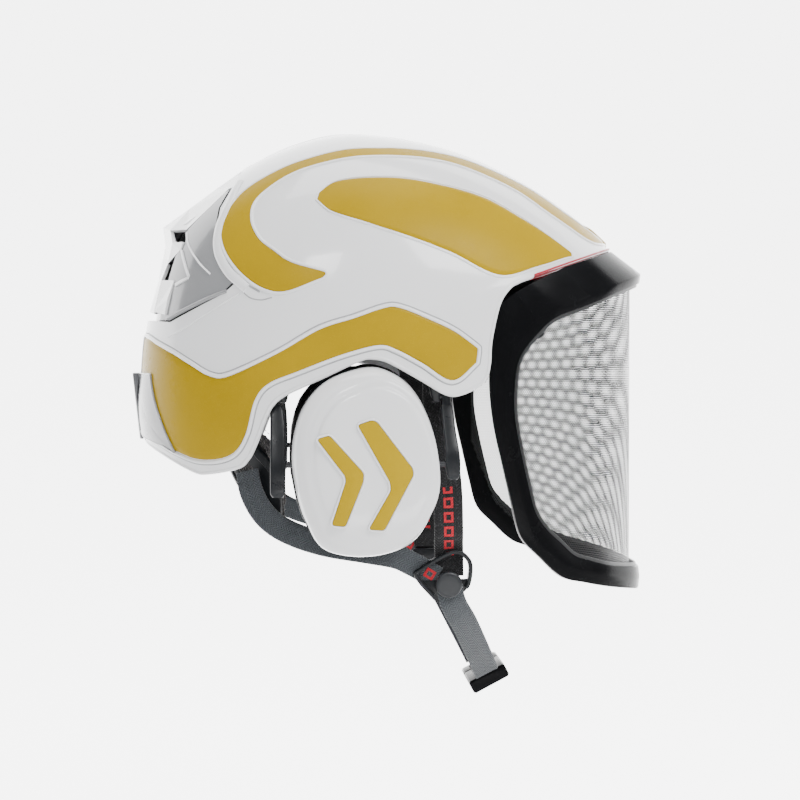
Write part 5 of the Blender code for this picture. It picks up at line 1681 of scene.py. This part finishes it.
for s, tag in ((-1, "r"), (1, "l")):
    refine("strap_anchor_" + tag, "strap_lug_" + tag, DARK, "hardware_dark", 0.6)
    path = catmull([(24.4, 86.2 * s, -14.8), (24.8, 84.0 * s, -27),
                    (25.6, 78.4 * s, -42), (28.2, 77.2 * s, -66),
                    (31.6, 76.6 * s, -94), (32.6, 74.4 * s, -117),
                    (33.0, 70.8 * s, -126.5), (33.4, 68.4 * s, -132.5),
                    (33.6, 68.1 * s, -146)], 8)
    sweep("front_web_" + tag, path, (1, 0, 0), strap_section(17.0, 1.6), WEB_BLACK,
          slot="webbing_black", replaces=("front_strap_" + tag,), smooth=60)
    path = catmull([(-84, 66.2 * s, -84), (-81, 68.6 * s, -97),
                    (-73, 70.8 * s, -110), (-60, 72.2 * s, -119),
                    (-40, 72.8 * s, -126), (-15, 72.6 * s, -130.6),
                    (2, 71.6 * s, -134), (11, 70.2 * s, -138.2),
                    (18, 69.7 * s, -142), (26, 69.7 * s, -147)], 8)
    ways = catmull([(0.8, 0.25 * s, 0.3), (0.75, 0.1 * s, 0.4), (0.6, 0, 0.75),
                    (0.4, -0.1 * s, 0.9), (0.2, -0.15 * s, 1),
                    (0.1, -0.1 * s, 1), (0.2, 0, 1), (0.35, 0, 0.95),
                    (0.45, 0, 0.9), (0.5, 0, 0.85)], 8)
    web = sweep("rear_web_" + tag, path, ways, strap_section(14.0, 1.6), WEB_REAR,
                body=None, slot="webbing_grey", replaces=("rear_strap_" + tag,),
                smooth=60)
    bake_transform(web)
    path = catmull([(33.2, 71.4 * s, -151), (34.6, 71.3 * s, -158),
                    (37.2, 69.2 * s, -164.6), (43.4, 62 * s, -175),
                    (53, 44 * s, -194), (59.4, 30 * s, -207),
                    (62.4, 23.0 * s, -213.4)], 8)
    web = sweep("chin_web_" + tag, path, (0.887, 0, 0.462),
                strap_section(15.5, 1.6), WEB_GREY, body="helmet" if s < 0 else None,
                slot="webbing_grey", replaces=("chin_strap_" + tag,), smooth=60)
    if s > 0:
        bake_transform(web)

    # Fork: a flat plate with an open loop, a raised rim and a round button.
    full = [tuple(p) for p in resample(catmull(
        [(35, -130.2), (45.5, -135.4), (46.5, -146), (42.6, -154.6),
         (29, -161.8), (21, -156), (12.6, -145.4), (15.6, -140.6)], 8, True),
        72, True)]
    v, f = prism(full, *sided(s, 69.3, 70.9))
    fork = make("fork_plate_" + tag, v, f, DARK, slot="hardware_dark",
                replaces=("strap_fork_" + tag,))
    hole = grown(full, -2.3)
    hole = [tuple(p) for p in hole if p[1] > -148.5]
    cut(fork, *prism(hole, *sided(s, 60, 80)))
    bevel(fork, 0.3, 2, 40)
    line = [p for p in grown(full, -1.25)]
    start = min(range(72), key=lambda i: math.hypot(line[i][0] - 27, line[i][1] + 160))
    order = [line[(start + k) % 72] for k in range(72)]
    keep = [p for p in order if not (p[1] < -153 and p[0] > 24)]
    # the rim's open path, from one side of the strap round to the other
    gap = max(range(len(keep)), key=lambda i: math.dist(keep[i],
                                                        keep[(i + 1) % len(keep)]))
    keep = keep[gap + 1:] + keep[:gap + 1]
    keep = resample(np.array(keep), 90)
    path = np.array([(x, s * 72.0, z) for x, z in keep])
    section = rounded([(-1.2, -2.6, 0), (1.2, -2.6, 0), (1.2, 2.6, 0),
                       (-1.2, 2.6, 0)], 0.8, 4)[:, :2]
    rim = sweep("fork_rim_" + tag, path,
                np.array([np.cross(unit(path[min(i + 1, 89)] - path[max(i - 1, 0)]),
                                   (0, 1, 0)) for i in range(90)]),
                section, DARK, slot="hardware_dark", smooth=60)
    rings = []
    for r, d in ((3.0, 74.5), (7.2, 74.5), (7.7, 74.8), (7.75, 75.6), (7.5, 76.4),
                 (7.0, 76.9), (6.2, 77.15), (5.0, 77.25), (3.0, 77.3), (1.0, 77.3)):
        rings.append(np.array([(32.6 + r * math.cos(2 * math.pi * k / 64), s * d,
                                -150 + r * math.sin(2 * math.pi * k / 64))
                               for k in range(64)]))
    loft("fork_cap_" + tag, rings, BUTTON, "button_" + tag, "hardware_dark",
         ("fork_button_" + tag,), smooth=50)

refine("chin_buckle_socket", "buckle_socket", BLACK, "frame_black", 0.5)
refine("chin_buckle_tongue", "buckle_tongue", BLACK, "frame_black", 0.5)

# =============================================================== rear vent
def slice_of_dome(name, outer, inner_off, outline, y0, y1, mat, slot, replaces=(),
                  cuts=(), segments=120, rings=60):
    """A piece of a dome-shaped wall inside a side outline, between two widths."""
    obj = make(name, *ellipsoid(HALF + outer, outer, segments, rings), mat,
               slot=slot, replaces=replaces, smooth=35)
    cut(obj, *ellipsoid(HALF + inner_off, inner_off, 90, 46))
    cut(obj, *prism(outline, y0, y1), operation="INTERSECT")
    for c in cuts:
        cut(obj, *prism(c, y0 - 5, y1 + 5))
    obj.data.shade_smooth()
    obj.data.set_sharp_from_angle(angle=math.radians(28))
    return obj


def dome_plate(name, points, top, low, mat, slot="vent_clear", body="helmet",
               steps=6):
    """A small facet plate that follows the dome between two depths."""
    p = []
    pts = np.asarray(points, float)
    for i in range(len(pts)):
        a, b = pts[i], pts[(i + 1) % len(pts)]
        p += [a + (b - a) * k / steps for k in range(steps)]
    p = np.array(p)
    c = p.mean(0)
    rows = [1.0, 0.66, 0.33]
    verts = []
    for k in rows:
        verts.append(on_dome(c + (p - c) * k, top))
    n = len(p)
    upper_pts = np.vstack(verts + [on_dome([c], top)])
    lower = on_dome(p, low)
    faces = []
    for r in range(2):
        for i in range(n):
            j = (i + 1) % n
            faces.append((r * n + i, r * n + j, (r + 1) * n + j, (r + 1) * n + i))
    top_c = 3 * n
    for i in range(n):
        faces.append((2 * n + i, 2 * n + (i + 1) % n, top_c))
    base = 3 * n + 1
    for i in range(n):
        j = (i + 1) % n
        faces.append((i, j, base + j, base + i))
    faces.append(tuple(base + i for i in range(n)))
    return make(name, np.vstack([upper_pts, lower]), faces, mat, body, slot,
                smooth=28)


WINDOW_UP = [(-131.5, 57.4), (-120.6, 56.0), (-121.2, 49.4), (-128.4, 49.6)]
WINDOW_LOW = [(-122.0, 44.6), (-134.4, 28.0), (-130.6, 24.2), (-117.2, 25.4),
              (-116.9, 28.6)]
SIDE_PLATE = [(-96.4, 17.9), (-89.4, 24.4), (-96.0, 36.2), (-101.9, 52),
              (-99.9, 68.2), (-94.0, 81.0), (-118.8, 56.0), (-119.6, 48.6),
              (-122.4, 45.5), (-135.0, 28.6), (-141.5, 10.0), (-141.0, 4.6),
              (-128.2, 3.2)]
SPINE = [(-170, 9), (-128.2, 3.2), (-97, 17.9), (-89.4, 24.4), (-96.0, 36.2),
         (-101.9, 52), (-99.9, 68.2), (-92.9, 82.2), (-87.4, 95.3), (-109, 95.3),
         (-170, 79)]
spine = slice_of_dome("vent_spine", -4.8, -6.8, SPINE, -57, 57, CLEAR, "vent_clear",
                      ("rear_vent_insert",))
for s, tag in ((-1, "r"), (1, "l")):
    # windows through the spine wall on each side
    for outline in (WINDOW_UP, WINDOW_LOW):
        cut(spine, *prism(outline, *sided(s, 30, 62)))
for s, tag in ((-1, "r"), (1, "l")):
    low, high = sided(s, 52.6, 130)
    slice_of_dome("vent_flank_" + tag, 0.0, -6.8, SIDE_PLATE, low, high, CLEAR,
                  "vent_clear")
spine.data.shade_smooth()
spine.data.set_sharp_from_angle(angle=math.radians(28))

def facets(name, points, polygons, mat, thick=2.0, slot="vent_clear"):
    """Flat facets with straight edges, given a thickness inwards."""
    centre = np.array([-40.0, 0.0, 0.0])
    verts, faces = [], []
    for poly in polygons:
        p = np.array([points[k] for k in poly], float)
        n = unit(np.cross(p[1] - p[0], p[2] - p[0]))
        if n.dot(p.mean(0) - centre) < 0:
            p, n = p[::-1], -n
        base = len(verts)
        m = len(p)
        verts += list(p) + list(p - n * thick)
        faces.append(tuple(base + i for i in range(m)))
        faces.append(tuple(base + m + i for i in reversed(range(m))))
        faces += [(base + (i + 1) % m, base + i, base + m + i,
                   base + m + (i + 1) % m) for i in range(m)]
    return make(name, verts, faces, mat, "helmet", slot, smooth=0, flip=False)


VENT_POINTS = {
    "a0": (-94.5, -53.1, 80.9), "a1": (-104.4, -22, 84.2), "a2": (-120.6, -13, 73.6),
    "a3": (-137.2, -8, 62.4), "a4": (-119.4, -53.2, 56.6), "a5": (-135.4, -12, 50.6),
    "m1": (-102.8, 0, 87.6), "m2": (-121.5, 0, 74.0), "m3": (-137.6, 0, 62.6),
    "m5": (-135.6, 0, 50.8), "m6": (-140.2, 0, 29.0), "m7": (-145.2, 0, 10.2),
    "w1": (-130.0, -40, 57.4), "w4": (-128.2, -45.4, 49.6), "k0": (-121.2, -58.2, 48.9),
    "k1": (-122.6, -57.6, 44.4), "k5": (-131.8, -36, 38.0), "a6": (-139.6, -14, 28.8),
    "k2": (-135.0, -43.6, 27.6), "k3": (-126.2, -60.4, 26.4), "t1": (-139.4, -44, 9.0),
    "t2": (-131.6, -60, 6.6), "t3": (-129.8, -60.6, 15.6), "a7": (-144.6, -16, 10.2),
}
for key, place in (("e0", (-92.4, -54.0, 83.0)), ("e1", (-88.0, -26.0, 94.0)),
                   ("e2", (-87.0, 0.0, 96.5))):
    VENT_POINTS[key] = tuple(on_dome([place], -0.5)[0])
for s, tag in ((-1, "r"), (1, "l")):

    def side(points):
        return [(a, -b * s, c) for a, b, c in points]

    here = {k: (v[0], -v[1] * s, v[2]) for k, v in VENT_POINTS.items()}
    facets("vent_wall_" + tag, here, [("a0", "a4", "w1", "a2"), ("w1", "a3", "a2"),
                                      ("a0", "a2", "a1"), ("e0", "e1", "a1", "a0"),
                                      ("e1", "e2", "m1", "a1")], VENT_PALE)
    facets("vent_bars_" + tag, here, [
        ("a3", "w1", "w4", "a5"), ("a5", "w4", "k1", "k5"), ("w4", "k0", "k1"),
        ("a5", "k5", "k2", "a6"), ("k2", "k3", "t3", "t1"), ("t3", "t2", "t1")], RIB)
    facets("vent_crest_" + tag, here, [
        ("m1", "a1", "a2", "m2"), ("m2", "a2", "a3", "m3"), ("m3", "a3", "a5", "m5"),
        ("m5", "a5", "a6", "m6"), ("m6", "a6", "a7", "m7"), ("a6", "k2", "t1", "a7")],
        CLEAR)
    # thin raised frame round the lower window
    frames = [
        dome_plate("d", side([(-122.4, -57.3, 44.6), (-120.8, -58.8, 44.0),
                              (-115.8, -71.6, 28.2), (-116.9, -71.4, 27.0)]),
                   0.9, -1.6, RIB, steps=10),
        dome_plate("e", side([(-116.0, -71.8, 28.0), (-117.4, -71.6, 26.4),
                              (-124.6, -63.4, 22.6), (-125.0, -62.4, 24.4)]),
                   0.9, -1.6, RIB, steps=10)]
    join("vent_frame_" + tag, frames)
    # dark floor behind the windows
    floors = [
        dome_plate("h", side([(-131.8, -38, 58.2), (-119.4, -52.4, 56.6),
                              (-119.6, -59.0, 48.0), (-129.0, -44.0, 48.0)]),
                   -4.6, -5.4, CLEAR_DARK),
        dome_plate("i", side([(-121.4, -58.0, 46.4), (-136.0, -40.0, 28.4),
                              (-131.0, -55.0, 22.4), (-115.4, -73.4, 25.0),
                              (-115.0, -73.0, 29.0)]), -4.6, -5.4, CLEAR_DARK)]
    join("vent_floor_" + tag, floors)
    # a lighter bar seen inside the lower window
    dome_plate("vent_bar_" + tag, side([(-124.4, -59.6, 33.8), (-119.4, -66.2, 29.4),
                                        (-121.6, -65.6, 26.6), (-127.6, -57.4, 28.2)]),
               -2.6, -4.4, RIB)
    # crease down the flank, and the shelf under it
    bead("vent_crease_" + tag, resample(catmull(side(
        [(-119, -54.7, 54.4), (-117.4, -62.7, 46.6), (-110.3, -75.3, 35.3),
         (-103.7, -83, 28.5)]), 8), 60), 1.1, 0.7, RIB, slot="vent_clear",
        off=0.0)
    bead("vent_shelf_" + tag, resample(catmull(side(
        [(-131.2, -62.6, 4.2), (-118.0, -76.0, 9.6), (-104.0, -87.0, 15.4),
         (-95.0, -92.6, 18.6)]), 8), 80), 2.2, 1.3, CLEAR, slot="vent_clear")
    # the broad rounded band beside the flank
    bead("vent_band_" + tag, resample(catmull(side(
        [(-90.0, -55.0, 86.0), (-94.6, -68.0, 70.0), (-98.8, -75.0, 56.0),
         (-98.6, -81.5, 42.0), (-93.0, -88.5, 30.0), (-86.0, -94.4, 22.8),
         (-82.6, -97.6, 19.4)]), 8), 140), 6.0, 1.5, SHELL, slot="shell_white")
    # fine ridge under the shelf
    bead("vent_ridge_" + tag, resample(catmull(side(
        [(-129.2, -63.9, -6.5), (-118.6, -75.2, -1.6), (-104.0, -86.4, 7.0),
         (-86.9, -95.9, 16.9)]), 8), 80), 1.3, 0.5, SHELL, slot="shell_white")

# Crown strip: a low clear rib along the middle of the roof.
rings = []
for i in range(81):
    u = i / 80
    angle = math.radians(84.5 + 37 * u)
    half = 0.124 * (0.55 + 0.45 * math.sin(math.pi * u)) * HALF
    row = []
    r = float(radius(angle))
    for t, h in ((-1, 0.2), (-0.94, 0.7), (-0.7, 1.0), (-0.35, 1.1), (0, 1.1),
                 (0.35, 1.1), (0.7, 1.0), (0.94, 0.7), (1, 0.2), (0.9, -0.5),
                 (0, -0.5), (-0.9, -0.5)):
        yy = half * t
        rr = r * (1 - (abs(yy) / HALF) ** POWER) ** (1 / POWER)
        fade = min(1.0, 0.25 + 12 * min(u, 1 - u))
        rr += h * (fade if h > 0 else 1)
        row.append((CENTRE[0] + rr * math.cos(angle), yy,
                    CENTRE[1] + rr * math.sin(angle)))
    rings.append(np.array(row))
loft("crown_rib", rings, CLEAR, "helmet", "vent_clear", ("crown_vent_strip",),
     smooth=40)

refine("rear_clip", "clip_plate", CLIP, "clip_grey", 0.8)
for s, tag in ((-1, "r"), (1, "l")):
    outline = [(-148.6, 18.6 * s, -27.2), (-139.9, 48.9 * s, -27.9),
               (-132.6, 57.6 * s, -50.0), (-124.7, 64.7 * s, -72.9),
               (-131.7, 57.1 * s, -69.2), (-140, 43.7 * s, -66.9),
               (-148.0, 14.0 * s, -62.0)]
    dome_plate("clip_wing_" + tag, outline, 1.5, -0.6, CLIP, slot="clip_grey")
    bead("clip_edge_" + tag, resample(np.array(outline), 120), 1.0, 0.5, CLEAR,
         slot="clip_grey", off=1.3, sink=0.6)

# =============================================================== stage
def camera():
    data = bpy.data.cameras.new("camera")
    data.lens = 60.4
    data.sensor_width = 36.0
    data.clip_end = 20
    obj = bpy.data.objects.new("camera", data)
    bpy.context.scene.collection.objects.link(obj)
    a, e = math.radians(4.5), math.radians(1.1)
    f = Vector((math.sin(a) * math.cos(e), math.cos(a) * math.cos(e), -math.sin(e)))
    target = Vector((10.1, 0, -44.3)) * MM
    obj.location = target - f * 0.85
    obj.rotation_euler = f.to_track_quat("-Z", "Y").to_euler()
    bpy.context.scene.camera = obj


def area(name, location, target, size, energy, shape="RECTANGLE", size_y=None,
         colour=(1, 1, 1)):
    data = bpy.data.lights.new(name, "AREA")
    data.shape = shape
    data.size = size
    if size_y:
        data.size_y = size_y
    data.energy = energy
    data.color = colour
    obj = bpy.data.objects.new(name, data)
    bpy.context.scene.collection.objects.link(obj)
    obj.location = location
    way = Vector(target) - Vector(location)
    obj.rotation_euler = way.to_track_quat("-Z", "Y").to_euler()
    return obj


camera()
world = bpy.data.worlds.new("studio")
bpy.context.scene.world = world
world.use_nodes = True
world.node_tree.nodes["Background"].inputs["Color"].default_value = (1, 1, 1, 1)
world.node_tree.nodes["Background"].inputs["Strength"].default_value = 0.36

# Pale floor under the object, and a bright sheet curving up behind it.
def sheet(name, line, mat):
    verts = [(x, y, z) for y, z in line for x in (-7.0, 7.0)]
    faces = [(2 * i, 2 * i + 1, 2 * i + 3, 2 * i + 2) for i in range(len(line) - 1)]
    mesh = bpy.data.meshes.new(name)
    mesh.from_pydata(verts, [], faces)
    mesh.shade_smooth()
    obj = bpy.data.objects.new(name, mesh)
    bpy.context.scene.collection.objects.link(obj)
    mesh.materials.append(mat)
    return obj


curve = [(0.30, -0.42), (0.6, -0.42)]
for k in range(1, 13):
    g = math.pi / 2 * k / 12
    curve.append((0.6 + 1.4 * math.sin(g), -0.42 + 1.4 * (1 - math.cos(g))))
curve.append((2.0, 5.0))
floor_mat = plastic("floor_pale", (0.80, 0.80, 0.80), rough=0.7, vary=0.004,
                    bump=0, blotch=2.0)
wall_mat = plastic("backdrop_pale", (0.86, 0.86, 0.86), rough=0.7, vary=0.004,
                   bump=0, blotch=2.0)
wall_shader = wall_mat.node_tree.nodes["Principled BSDF"]
wall_shader.inputs["Emission Color"].default_value = (1, 1, 1, 1)
wall_shader.inputs["Emission Strength"].default_value = 4.2
sheet("floor", [(-4.0, -0.42), (0.30, -0.42)], floor_mat)
sheet("backdrop", curve, wall_mat)
area("key", (0.85, -1.25, 1.2), (0, 0, 0), 0.9, 34, size_y=0.7)
area("top", (-0.05, -0.1, 1.6), (0, 0, 0), 1.2, 20, size_y=0.9)
area("front", (1.5, -0.7, 0.4), (0, 0, -0.05), 0.5, 4, size_y=0.9)
area("low", (0.1, -1.1, -0.36), (0, 0, -0.1), 0.7, 1.6, size_y=0.10)
area("window", (-0.45, -1.5, 0.85), (0, 0, 0), 0.35, 7, size_y=0.3)
